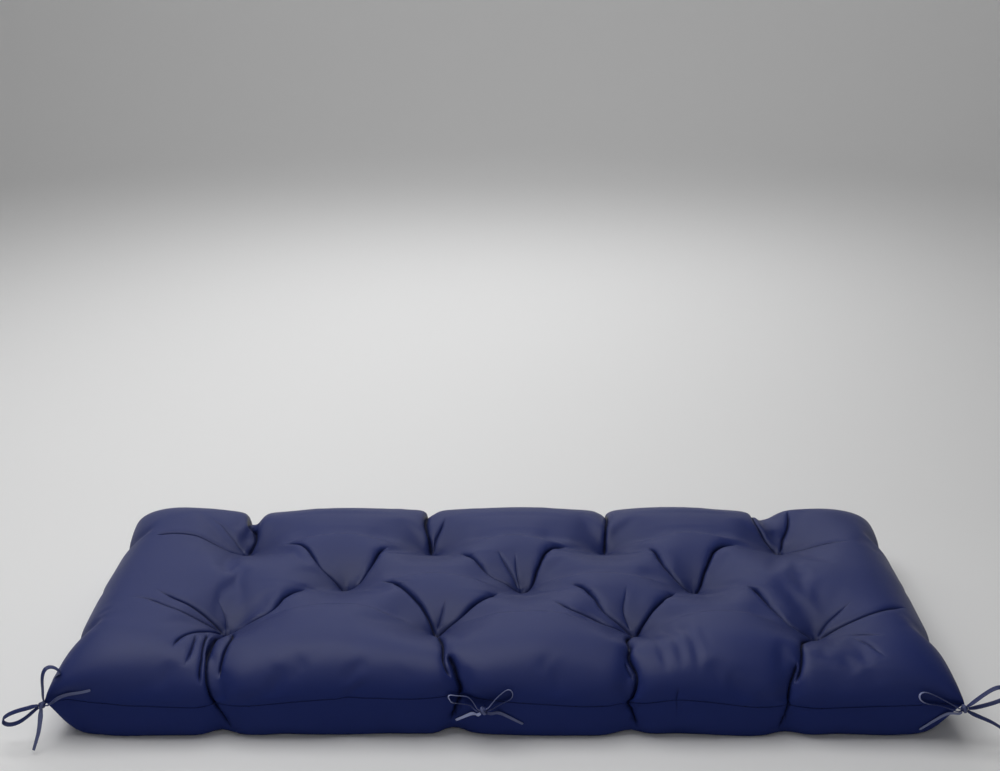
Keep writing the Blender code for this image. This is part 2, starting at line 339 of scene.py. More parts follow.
@dataclass(frozen=True)
class SewnTape:
    """Narrow tape, folded and stitched along both edges; its UV map is in metres along and across."""

    name: str
    colour: tuple = (0.016, 0.026, 0.110, 1.0)
    thread_colour: tuple = (0.050, 0.066, 0.200, 1.0)
    # the colour of the painted highlight, where the tape would catch the light
    painted_highlight_colour: tuple = (0.560, 0.620, 0.950, 1.0)
    shown_by_stitch: float = 0.8
    shown_by_rib: float = 0.1
    shown_by_fuzz: float = 0.1
    dulled_by_stitch: float = 0.5
    lit_by_rib: float = 0.25
    fuzz_scale: float = 900.0
    roughness: float = 0.42
    fuzz_roughness: float = 0.15
    specular: float = 0.3
    stitch_place: float = 0.0020
    stitch_width: float = 0.00035
    stitch_pitch: float = 0.0024
    stitch_height: float = 0.00012
    rib_pitch: float = 0.0007
    rib_height: float = 0.00004
    fuzz_height: float = 0.00002

    def material(self) -> bpy.types.Material:
        """Builds the tape's shader.

        Returns:
            The material.
        """
        g = Graph(self.name)
        along, across = g.pattern()
        off_line = g.maths("ABSOLUTE", g.maths("ABSOLUTE", across) - self.stitch_place)
        dash = g.maths("SINE", along * (math.tau / self.stitch_pitch)) + 0.5
        dash = g.maths("MINIMUM", g.maths("MAXIMUM", dash, 0.0), 1.0)
        stitch = g.near(off_line, self.stitch_width) * dash
        ribs = g.maths("SINE", along * (math.tau / self.rib_pitch)) * 0.5 + 0.5
        fuzz = g.noise(self.fuzz_scale)
        shown = stitch * self.shown_by_stitch + ribs * self.shown_by_rib + fuzz * self.shown_by_fuzz
        colour = g.mix(shown, self.colour, self.thread_colour)
        # Painted highlight: the tape is lightened where it would face the light, less on its stitches and
        # between its ribs.
        painted_highlight = g.attribute("painted_highlight") * (1 - stitch * self.dulled_by_stitch)
        painted_highlight = painted_highlight * ((1 - self.lit_by_rib) + ribs * self.lit_by_rib)
        colour = g.mix(painted_highlight, colour, self.painted_highlight_colour)
        roughness = self.roughness + (fuzz - 0.5) * self.fuzz_roughness
        height = stitch * self.stitch_height + ribs * self.rib_height + fuzz * self.fuzz_height
        sockets = {"Base Color": colour, "Roughness": roughness, "Normal": g.bump(height)}
        return g.finish(g.surface(self.specular, sockets))


@dataclass(frozen=True)
class PalePaper:
    """The plain, nearly white floor."""

    name: str = "pale_floor"
    colour: tuple = (0.86, 0.86, 0.86, 1.0)
    grain_scale: float = 40.0
    roughness: float = 0.75
    grain_roughness: float = 0.1
    specular: float = 0.2

    def material(self) -> bpy.types.Material:
        """Builds the floor's shader.

        Returns:
            The material.
        """
        g = Graph(self.name)
        roughness = g.noise(self.grain_scale) * self.grain_roughness + self.roughness
        return g.finish(g.surface(self.specular, {"Base Color": self.colour, "Roughness": roughness}))


# ---- Shared mesh work ----


def add_object(name: str, mesh: bpy.types.Mesh, material: bpy.types.Material) -> bpy.types.Object:
    """Puts a mesh in the scene.

    Args:
        name: The object's name.
        mesh: Its mesh.
        material: Its finish.

    Returns:
        The object.
    """
    mesh.materials.clear()
    mesh.materials.append(material)
    made = bpy.data.objects.new(name, mesh)
    bpy.context.scene.collection.objects.link(made)
    return made


def mesh_from(bm: bmesh.types.BMesh, name: str) -> bpy.types.Mesh:
    """Turns a worked mesh into a plain one, and frees it.

    Args:
        bm: The worked mesh.
        name: The plain one's name.

    Returns:
        The plain mesh.
    """
    mesh = bpy.data.meshes.new(name)
    bm.to_mesh(mesh)
    bm.free()
    return mesh


def spin_round(bm: bmesh.types.BMesh, section: list, axis: tuple | Vector, steps: int) -> None:
    """Turns a section once round a line through the origin.

    Args:
        bm: The worked mesh.
        section: The section's points and edges.
        axis: The line's direction.
        steps: Cells in the whole turn.
    """
    bmesh.ops.spin(
        bm, geom=section, cent=(0, 0, 0), axis=axis, angle=math.tau, steps=steps, use_merge=True
    )


def add_rounding(piece: bpy.types.Object) -> bpy.types.Modifier:
    """Gives a piece one level of subdivision, and returns its modifier."""
    smooth = piece.modifiers.new("smooth", "SUBSURF")
    smooth.levels = smooth.render_levels = 1
    return smooth


def read_rows(items: bpy.types.bpy_prop_collection, name: str) -> np.ndarray:
    """Reads a vector of each of a mesh's items.

    Args:
        items: The mesh's vertices, or the data of one of its attributes.
        name: The vector's name.

    Returns:
        One row of x, y, z for each item.
    """
    values = np.empty(len(items) * 3, np.float32)
    items.foreach_get(name, values)
    return values.reshape(-1, 3).astype(float)


def read_numbers(items: bpy.types.bpy_prop_collection, name: str) -> np.ndarray:
    """Reads a whole number of each of a mesh's items."""
    values = np.empty(len(items), np.int32)
    items.foreach_get(name, values)
    return values


def vertex_places(mesh: bpy.types.Mesh) -> np.ndarray:
    """The places of a mesh's vertices, one row of x, y, z for each."""
    return read_rows(mesh.vertices, "co")


def set_vertex_places(mesh: bpy.types.Mesh, places: np.ndarray) -> None:
    """Moves a mesh's vertices.

    Args:
        mesh: The mesh.
        places: One row of x, y, z for each vertex.
    """
    mesh.vertices.foreach_set("co", places.astype(np.float32).ravel())
    mesh.update()


def flat_places(mesh: bpy.types.Mesh) -> np.ndarray:
    """The places of a mesh's vertices in the flat pattern, one row for each.

    The third number of a row is 1 on the top panel, -1 on the bottom one and 0 on the seam.
    """
    return read_rows(mesh.attributes["flat_place"].data, "vector")


def ramp(share: np.ndarray) -> np.ndarray:
    """A smooth step from 0 to 1 as the share goes from 0 to 1."""
    share = np.clip(share, 0.0, 1.0)
    return share * share * (3 - 2 * share)


def baked_mesh(piece: bpy.types.Object) -> bpy.types.Mesh:
    """A copy of a piece's mesh with its modifiers applied.

    Args:
        piece: The object.

    Returns:
        The new mesh.
    """
    graph = bpy.context.evaluated_depsgraph_get()
    return bpy.data.meshes.new_from_object(piece.evaluated_get(graph), depsgraph=graph)


def curve_through(points: np.ndarray, steps: int) -> np.ndarray:
    """A Catmull-Rom curve.

    Args:
        points: The points that it passes, one row each.
        steps: Sections between two points.

    Returns:
        The points of the curve.
    """
    padded = np.vstack([2 * points[0] - points[1], points, 2 * points[-1] - points[-2]])
    found = []
    for a, b, c, d in zip(padded, padded[1:], padded[2:], padded[3:]):
        for t in np.arange(steps) / steps:
            bend = t * t * (2 * a - 5 * b + 4 * c - d) + t**3 * (3 * (b - c) + d - a)
            found.append(b + (t * (c - a) + bend) / 2)
    return np.array([*found, points[-1]])


# ---- The cushion ----


class Tuft(Enum):
    """Where thread holds the two panels together, in metres from the cushion's middle."""

    FRONT_1 = (-0.380, -0.122)
    FRONT_2 = (-0.092, -0.122)
    FRONT_3 = (0.181, -0.126)
    FRONT_4 = (0.427, -0.134)
    MIDDLE_1 = (-0.229, 0.000)
    MIDDLE_2 = (0.028, -0.006)
    MIDDLE_3 = (0.276, -0.008)
    BACK_1 = (-0.388, 0.105)
    BACK_2 = (-0.108, 0.104)
    BACK_3 = (0.154, 0.106)
    BACK_4 = (0.420, 0.108)

    @classmethod
    def row(cls, name: str) -> list["Tuft"]:
        """The tufts of one row, from left to right."""
        return [tuft for tuft in cls if tuft.name.startswith(name)]


@dataclass(frozen=True)
class Crease:
    """Where the filled cloth dips between two places of a panel."""

    start: tuple[float, float]
    end: tuple[float, float]
    middle_sink: float
    end_sink: float
    via: tuple = ()
    steps: int = 6

    def line(self) -> np.ndarray:
        """Points along the crease.

        Returns:
            One row for each point: its place, and its share of the way.
        """
        stops = [self.start, *[(x * MM, y * MM) for x, y in self.via], self.end]
        places = curve_through(np.array(stops), self.steps)
        return with_way(places, whole=1.0)


class Press(Enum):
    """How the cloth gives way across a fold."""

    CREASED = "two round lips that meet in a sharp line"
    SOFT = "one shallow trough"
    CREST = "a crest, with the cloth falling away on its left"


@dataclass(frozen=True)
class Fold:
    """A line along which the filled cloth is pressed in, in millimetres of its flat pattern."""

    points: tuple
    depth: float
    width: float = 7.0
    fade: tuple[float, float] = (8.0, 25.0)
    lean: float = 0.0
    side: Side = Side.TOP
    press: Press = Press.CREASED
    steps: int = 5

    def line(self) -> np.ndarray:
        """Points along the fold.

        Returns:
            One row for each point: its place in metres, and its way from the start in millimetres.
        """
        places = curve_through(np.array(self.points, float) * MM, self.steps)
        return with_way(places)


def ways_along(places: np.ndarray) -> np.ndarray:
    """How far each point of a line lies from its first one, along it."""
    return np.concatenate([[0.0], np.cumsum(np.linalg.norm(np.diff(places, axis=0), axis=1))])


def with_way(places: np.ndarray, whole: float | None = None) -> np.ndarray:
    """Adds to the points of a line how far along it they lie.

    Args:
        places: One row for each point, in metres.
        whole: What the line's last point gets, or None for its length in millimetres.

    Returns:
        The rows with the way added.
    """
    way = ways_along(places)
    way *= 1 / MM if whole is None else whole / way[-1]
    return np.column_stack([places, way])


# The creases from tuft to tuft: the nearer tuft, the further one, and places in plan between them.
SLANTED_CREASES = (
    (Tuft.MIDDLE_1, Tuft.BACK_1, ((-243, 10), (-268, 33), (-306, 84))),
    (Tuft.MIDDLE_1, Tuft.BACK_2, ((-210, 3), (-196, 34), (-171, 85))),
    (Tuft.MIDDLE_2, Tuft.BACK_2, ((10, -2), (-18, 16), (-53, 60))),
    (Tuft.MIDDLE_2, Tuft.BACK_3, ((41, 4), (53, 38), (78, 82))),
    (Tuft.MIDDLE_3, Tuft.BACK_3, ((258, 2), (238, 32), (214, 86))),
    (Tuft.MIDDLE_3, Tuft.BACK_4, ((286, 4), (301, 38), (330, 82))),
    (Tuft.FRONT_1, Tuft.MIDDLE_1, ((-330, -104), (-296, -50))),
    (Tuft.FRONT_2, Tuft.MIDDLE_1, ((-104, -98), (-122, -66), (-158, -26))),
    (Tuft.FRONT_2, Tuft.MIDDLE_2, ((-66, -106), (-46, -84), (-18, -56))),
    (Tuft.FRONT_3, Tuft.MIDDLE_2, ((144, -96), (126, -62), (94, -26))),
    (Tuft.FRONT_3, Tuft.MIDDLE_3, ((195, -106), (210, -84), (236, -52))),
    (Tuft.FRONT_4, Tuft.MIDDLE_3, ((394, -120), (374, -86), (344, -34))),
)

# The creases from the tufts of the front and the back row over the edge beside them: the tuft, a
# place between, the end at the edge, and how far the cloth is drawn in there.
EDGE_CREASES = (
    (Tuft.FRONT_1, (-388, -190), (-372, -250), 0.38),
    (Tuft.FRONT_2, (-80, -190), (-58, -250), 0.52),
    (Tuft.FRONT_3, (166, -190), (164, -250), 0.46),
    (Tuft.FRONT_4, (398, -190), (373, -250), 0.30),
    (Tuft.BACK_1, (-388, 170), (-392, 250), 0.48),
    (Tuft.BACK_2, (-116, 170), (-112, 250), 0.32),
    (Tuft.BACK_3, (159, 170), (158, 250), 0.18),
    (Tuft.BACK_4, (408, 170), (402, 250), 0.46),
)

# Folds beside and beyond the creases between the tufts, as they lie in the photo.
FOLDS = (
    # the crests of the cells, from tuft to tuft of one row
    *(
        Fold(points, depth, width, (45, 45), press=Press.CREST)
        for points in (
            ((-345, -128), (-290, -112), (-240, -98), (-195, -101), (-150, -114), (-110, -122)),
            ((-65, -124), (-22, -121), (20, -118), (66, -121), (110, -129), (155, -134)),
            ((210, -127), (250, -120), (290, -114), (334, -120), (385, -133)),
            ((-175, -22), (-117, -9), (-86, -8), (-40, -16), (0, -30)),
            ((55, -12), (100, -7), (150, -8), (195, -13), (240, -24)),
            ((-335, 90), (-290, 100), (-240, 109), (-195, 102), (-155, 94)),
            ((-55, 94), (-14, 101), (20, 104), (60, 98), (105, 92)),
            ((190, 98), (235, 106), (275, 113), (310, 108), (355, 96)),
        )
        for depth, width in ((5.2, 19.0), (2.4, 7.0))
    ),
    # over the front edge below the first tuft, with its pocket and two hooked folds
    Fold(((-380, -122), (-388, -160), (-391, -195), (-388, -228), (-384, -258), (-378, -281)), 9.0, 9.0,
         (10, 1)),
    Fold(((-378, -281), (-370, -266), (-358, -244)), 7.0, 9.0, (1, 15), side=Side.BOTTOM),
    Fold(((-372, -132), (-364, -160), (-368, -185), (-373, -212), (-372, -233)), 6.5, 9.0, (12, 18)),
    Fold(((-382, -117), (-400, -132), (-418, -150), (-431, -167), (-438, -180), (-440, -192)), 4.5, 8.0,
         (12, 16)),
    Fold(((-415, -158), (-416, -190), (-421, -217)), 4.0, 9.0, (15, 25)),
    Fold(((-403, -145), (-400, -186), (-400, -223), (-397, -245)), 5.0, 8.0, (15, 20)),
    Fold(((-372, -20), (-366, -65), (-364, -95), (-374, -114)), 3.0, 14.0, (45, 12), press=Press.SOFT),
    # below the second tuft, in two strokes
    Fold(((-92, -122), (-86, -155), (-80, -187), (-77, -212), (-68, -238)), 6.5, 8.0, (10, 18)),
    Fold(((-75, -192), (-66, -214), (-61, -236), (-57, -260), (-57, -281)), 10.0, 9.0, (14, 1)),
    Fold(((-57, -281), (-62, -266), (-70, -244)), 10.0, 9.0, (1, 15), side=Side.BOTTOM),
    # below the third tuft
    Fold(((181, -126), (168, -158), (169, -181), (165, -200), (172, -228), (171, -254), (163, -281)),
         8.5, 9.0, (10, 1)),
    Fold(((163, -281), (170, -266), (176, -244)), 8.5, 9.0, (1, 15), side=Side.BOTTOM),
    Fold(((160, -205), (164, -220), (170, -240)), 3.5, 6.0, (10, 15)),
    # below the fourth tuft
    Fold(((427, -134), (405, -162), (395, -191), (390, -213), (381, -242)), 6.0, 9.0, (10, 20)),
    Fold(((388, -202), (381, -223), (376, -244), (373, -281)), 6.5, 9.0, (14, 1)),
    Fold(((373, -281), (369, -266), (363, -244)), 6.0, 9.0, (1, 15), side=Side.BOTTOM),
    # over the back edge
    Fold(((-388, 105), (-383, 132), (-388, 161), (-396, 205), (-392, 281)), 10.0, 9.0, (10, 1)),
    Fold(((-108, 104), (-113, 134), (-119, 170), (-117, 215), (-112, 281)), 9.0, 9.0, (10, 1)),
    Fold(((-108, 104), (-103, 128), (-94, 152), (-86, 180)), 3.5, 8.0, (12, 30)),
    Fold(((154, 106), (158, 150), (162, 190), (158, 281)), 7.0, 8.0, (10, 1)),
    Fold(((420, 108), (406, 124), (396, 145), (390, 173), (394, 215), (402, 281)), 6.5, 8.0, (10, 1)),
    Fold(((420, 108), (430, 135), (446, 172), (452, 205)), 5.0, 8.0, (12, 30)),
    Fold(((-388, 105), (-390, 180), (-392, 281)), 8.0, 13.0, (40, 1), press=Press.SOFT),
    Fold(((424, 112), (420, 180), (418, 281)), 9.0, 20.0, (40, 1), press=Press.SOFT),
    # out to the left end
    Fold(((-388, 105), (-410, 94), (-440, 99), (-471, 106), (-499, 105), (-519, 97)), 5.5, 9.0, (20, 10)),
    Fold(((-388, 105), (-420, 134), (-436, 152), (-463, 172)), 2.0, 12.0, (15, 40)),
    Fold(((-380, -122), (-418, -116), (-459, -106), (-493, -91), (-516, -88)), 3.5, 10.0, (20, 35)),
    Fold(((-380, -122), (-419, -101), (-458, -84), (-492, -64)), 5.0, 9.0, (10, 40)),
    Fold(((-380, -122), (-388, -92), (-406, -62)), 2.0, 10.0, (14, 40)),
    # out to the right end
    Fold(((420, 108), (446, 92), (472, 88), (496, 85), (516, 78)), 4.0, 9.0, (12, 30)),
    Fold(((427, -134), (460, -129), (504, -117), (530, -104), (549, -91)), 4.5, 9.0, (12, 30)),
    Fold(((427, -134), (446, -114), (467, -99), (487, -86)), 3.0, 10.0, (12, 30)),
    Fold(((458, -150), (484, -161), (510, -169)), 3.0, 8.0, (25, 25)),
    Fold(((466, -160), (488, -182), (502, -204)), 2.4, 8.0, (25, 25)),
    # pleats in the hollows round the tufts
    Fold(((24, -4), (16, 14), (6, 34), (-9, 68)), 3.0, 7.0, (12, 30)),
    Fold(((26, -4), (21, 20), (19, 45), (18, 65)), 2.0, 7.0, (12, 30)),
    Fold(((181, -126), (160, -124), (143, -121), (121, -110), (92, -99), (67, -75)), 5.0, 8.0, (18, 25)),
    Fold(((176, -120), (168, -90), (172, -62), (176, -36)), 2.2, 9.0, (10, 40)),
    Fold(((-92, -118), (-86, -96), (-80, -64)), 2.2, 9.0, (10, 30)),
    # wrinkles of the fourth front cell, and the pucker of the seam below it
    *(
        Fold(points, depth, width, (25, 45), press=Press.SOFT)
        for points, depth, width in (
            (((192, -126), (204, -160), (212, -200), (216, -240)), 2.4, 5.5),
            (((210, -128), (226, -158), (234, -196), (235, -232)), 2.2, 5.5),
            (((232, -134), (248, -164), (255, -200), (254, -240)), 2.4, 6.0),
            (((262, -150), (270, -176), (273, -204)), 1.4, 6.5),
        )
    ),
    Fold(((229, -254), (226, -281)), 2.4, 5.0, (16, 1)),
    Fold(((226, -281), (228, -264)), 2.4, 5.0, (1, 12), side=Side.BOTTOM),
)


def nearest_on_line(places: np.ndarray, line: np.ndarray) -> tuple[np.ndarray, np.ndarray, np.ndarray]:
    """Finds where points lie beside a line of straight steps.

    Args:
        places: One row of two coordinates for each point.
        line: One row for each point of the line: its coordinates, and its share of the way.

    Returns:
        Each point's distance, its share of the way and on which side it is, 1 for the left.
    """
    best = np.full(len(places), np.inf)
    share = np.zeros(len(places))
    side = np.ones(len(places))
    for start, end in zip(line, line[1:]):
        run = end[:2] - start[:2]
        to = places - start[:2]
        part = np.clip(to @ run / (run @ run), 0.0, 1.0)
        gap = to - part[:, None] * run
        away = np.hypot(gap[:, 0], gap[:, 1])
        nearer = away < best
        best[nearer] = away[nearer]
        share[nearer] = (start[2] + part * (end[2] - start[2]))[nearer]
        side[nearer] = np.sign(run[0] * to[:, 1] - run[1] * to[:, 0])[nearer]
    return best, share, side


@dataclass
class CushionForm:
    """The filled shape of the two panels, as a function of a point of their flat pattern."""

    length: float
    depth: float
    seam_height: float = 0.058
    top_rise: float = 0.0625
    bottom_drop: float = 0.14
    corner_lift: float = 2.0
    back_taper: float = 0.011
    shoulder_ends: float = 0.105
    shoulder_sides: float = 0.085
    arc_ends: float = 0.135
    arc_sides: float = 0.117
    swell: float = 0.013
    drawn_in: float = 0.012
    ear_length: float = 0.07
    tuft_sink: float = 0.60
    tuft_width: float = 0.012
    hollow_sink: float = 0.55
    hollow_width: float = 0.065
    under_sink: float = 2.0
    crease_sink: float = 0.12
    edge_crease_sink: float = 0.20
    soft_sink: float = 0.06
    end_sink: float = 0.10
    crease_width: float = 0.010
    crease_round: float = 0.006
    sink_blend: float = 5.0
    side_notch: float = 0.008
    end_notch: float = 0.005
    notch_width: float = 0.018
    end_notch_shift: float = 0.02
    back_bow_places: tuple = (-0.60, -0.15, 0.05, 0.36, 0.46, 0.60)
    back_bow_depths: tuple = (0.0, 0.0, 0.006, 0.006, 0.0, -0.006)
    seam_wave_places: tuple = (-0.60, -0.38, -0.21, -0.07, 0.16, 0.23, 0.36, 0.60)
    seam_wave_heights: tuple = (0.0, -0.006, 0.006, 0.005, -0.006, 0.005, -0.008, 0.0)

    @property
    def flat_half(self) -> tuple[float, float]:
        """Half the length and half the depth of a panel's flat pattern."""
        return (
            self.length / 2 - self.shoulder_ends + self.arc_ends,
            self.depth / 2 - self.shoulder_sides + self.arc_sides,
        )

    def slanted_creases(self) -> list[Crease]:
        """The creases from tuft to tuft."""
        return [
            Crease(near.value, far.value, self.crease_sink, self.tuft_sink, via)
            for near, far, via in SLANTED_CREASES
        ]

    def edge_creases(self) -> list[Crease]:
        """The creases from the outer tufts to the edges, and between the end tufts."""
        found = []
        for tuft, via, (x, y), sink in EDGE_CREASES:
            edge = (x * MM, y * MM)
            found.append(Crease(tuft.value, edge, self.edge_crease_sink, sink, (via,)))
        for row, side in ((Tuft.row("FRONT"), -1), (Tuft.row("BACK"), 1)):
            for tuft, end in ((row[0], -1), (row[-1], 1)):
                edge = (end * self.length / 2, tuft.value[1] + side * self.end_notch_shift)
                found.append(Crease(tuft.value, edge, self.soft_sink, self.end_sink))
        for end in (0, -1):
            front, back = Tuft.row("FRONT")[end], Tuft.row("BACK")[end]
            found.append(Crease(front.value, back.value, self.soft_sink, self.tuft_sink))
        return found

    def sink(self, x: np.ndarray, y: np.ndarray) -> np.ndarray:
        """The share of its rise that the surface loses at points in plan.

        Args:
            x: Places along the bench.
            y: Places across it.

        Returns:
            The share at each point.
        """
        total = np.zeros_like(x)
        places = np.column_stack([x, y])
        for tuft in Tuft:
            away = np.hypot(*(places - tuft.value).T)
            total += (self.tuft_sink * np.exp(-away / self.tuft_width)) ** self.sink_blend
            total += (self.hollow_sink * np.exp(-away / self.hollow_width)) ** self.sink_blend
        for crease in self.slanted_creases() + self.edge_creases():
            away, share, _ = nearest_on_line(places, crease.line())
            end_sink = np.where(share < 0.5, self.tuft_sink, crease.end_sink)
            sink = crease.middle_sink + (end_sink - crease.middle_sink) * (2 * share - 1) ** 4
            away = np.hypot(away, self.crease_round) - self.crease_round
            total += (sink * np.exp(-away / self.crease_width)) ** self.sink_blend
        return np.minimum(total ** (1 / self.sink_blend), self.tuft_sink)

    @staticmethod
    def _across(
        flat: np.ndarray, half: float, shoulder: float, arc: float
    ) -> tuple[np.ndarray, np.ndarray, np.ndarray, np.ndarray]:
        """One direction of a panel: the place in plan, the share of the rise, the outward swell
        and how far the surface faces outwards."""
        inner = half - shoulder
        angle = np.clip((np.abs(flat) - inner) / arc, 0.0, 1.0) * (math.pi / 2)
        place = np.minimum(np.abs(flat), inner) + shoulder * np.sin(angle)
        return np.sign(flat) * place, np.cos(angle), np.sin(2 * angle), np.sin(angle)

    def _drawn(self, place: np.ndarray, half: float) -> np.ndarray:
        """How far the seam is drawn in along an edge between its corners."""
        return self.drawn_in * np.tanh(np.maximum(half - np.abs(place), 0.0) / self.ear_length)

    def _notch(self, place: np.ndarray, centres: list[float], depth: float) -> np.ndarray:
        """How far an edge is cut in by the creases that cross it."""
        cuts = [np.exp(-(((place - centre) / self.notch_width) ** 2)) for centre in centres]
        return depth * np.max(cuts, axis=0)

    def place(self, flat: np.ndarray, up: np.ndarray) -> np.ndarray:
        """Sets points of the flat pattern in their filled shape.

        Args:
            flat: One row for each point: along and across the panel, in metres.
            up: 1 on the top panel and -1 on the bottom one.

        Returns:
            One row of x, y, z for each point.
        """
        half_x, half_y = self.length / 2, self.depth / 2
        lengthwise = (half_x, self.shoulder_ends, self.arc_ends)
        crosswise = (half_y, self.shoulder_sides, self.arc_sides)
        u, u_rise, u_swell, u_face = self._across(flat[:, 0], *lengthwise)
        v, v_rise, v_swell, v_face = self._across(flat[:, 1], *crosswise)
        front = [edge[0] * MM for _, _, edge, _ in EDGE_CREASES if edge[1] < 0]
        back = [edge[0] * MM for _, _, edge, _ in EDGE_CREASES if edge[1] > 0]
        ends = [
            Tuft.FRONT_1.value[1] - self.end_notch_shift,
            Tuft.BACK_1.value[1] + self.end_notch_shift,
        ]
        side_cut = np.where(
            v < 0, self._notch(u, front, self.side_notch), self._notch(u, back, self.side_notch)
        )
        taper = self.back_taper * np.clip(v / half_y, 0.0, 1.0)
        inset_x = u_face * (self._drawn(v, half_y) + self._notch(v, ends, self.end_notch) + taper)
        inset_y = v_face * (self._drawn(u, half_x) + side_cut)
        inset_y -= v_face * (v > 0) * eased(u, self.back_bow_places, self.back_bow_depths)
        x = u + np.sign(u) * (self.swell * u_swell * v_rise - inset_x)
        y = v + np.sign(v) * (self.swell * v_swell * u_rise - inset_y)
        waves = eased(u, self.seam_wave_places, self.seam_wave_heights)
        seam = self.seam_height + waves * (1 - v_rise)
        kept = 1 - self.sink(x, y)
        top = seam + self.top_rise * u_rise * v_rise * kept
        kept_under = np.maximum(1 - self.under_sink * self.sink(x, y), 0.0)
        bottom = seam - self.bottom_drop * u_rise**self.corner_lift * v_rise * kept_under
        z = np.where(up >= 0, top, bottom)
        return np.column_stack([x, y, np.maximum(z, 0.0)])


def eased(value: np.ndarray, places: tuple, heights: tuple) -> np.ndarray:
    """Reads a smooth curve through points.

    Args:
        value: Where to read it.
        places: The points' places, in order.
        heights: The points' heights.

    Returns:
        The height at each value.
    """
    places, heights = np.array(places), np.array(heights)
    index = np.clip(np.searchsorted(places, value) - 1, 0, len(places) - 2)
    share = ramp((value - places[index]) / (places[index + 1] - places[index]))
    return heights[index] + (heights[index + 1] - heights[index]) * share


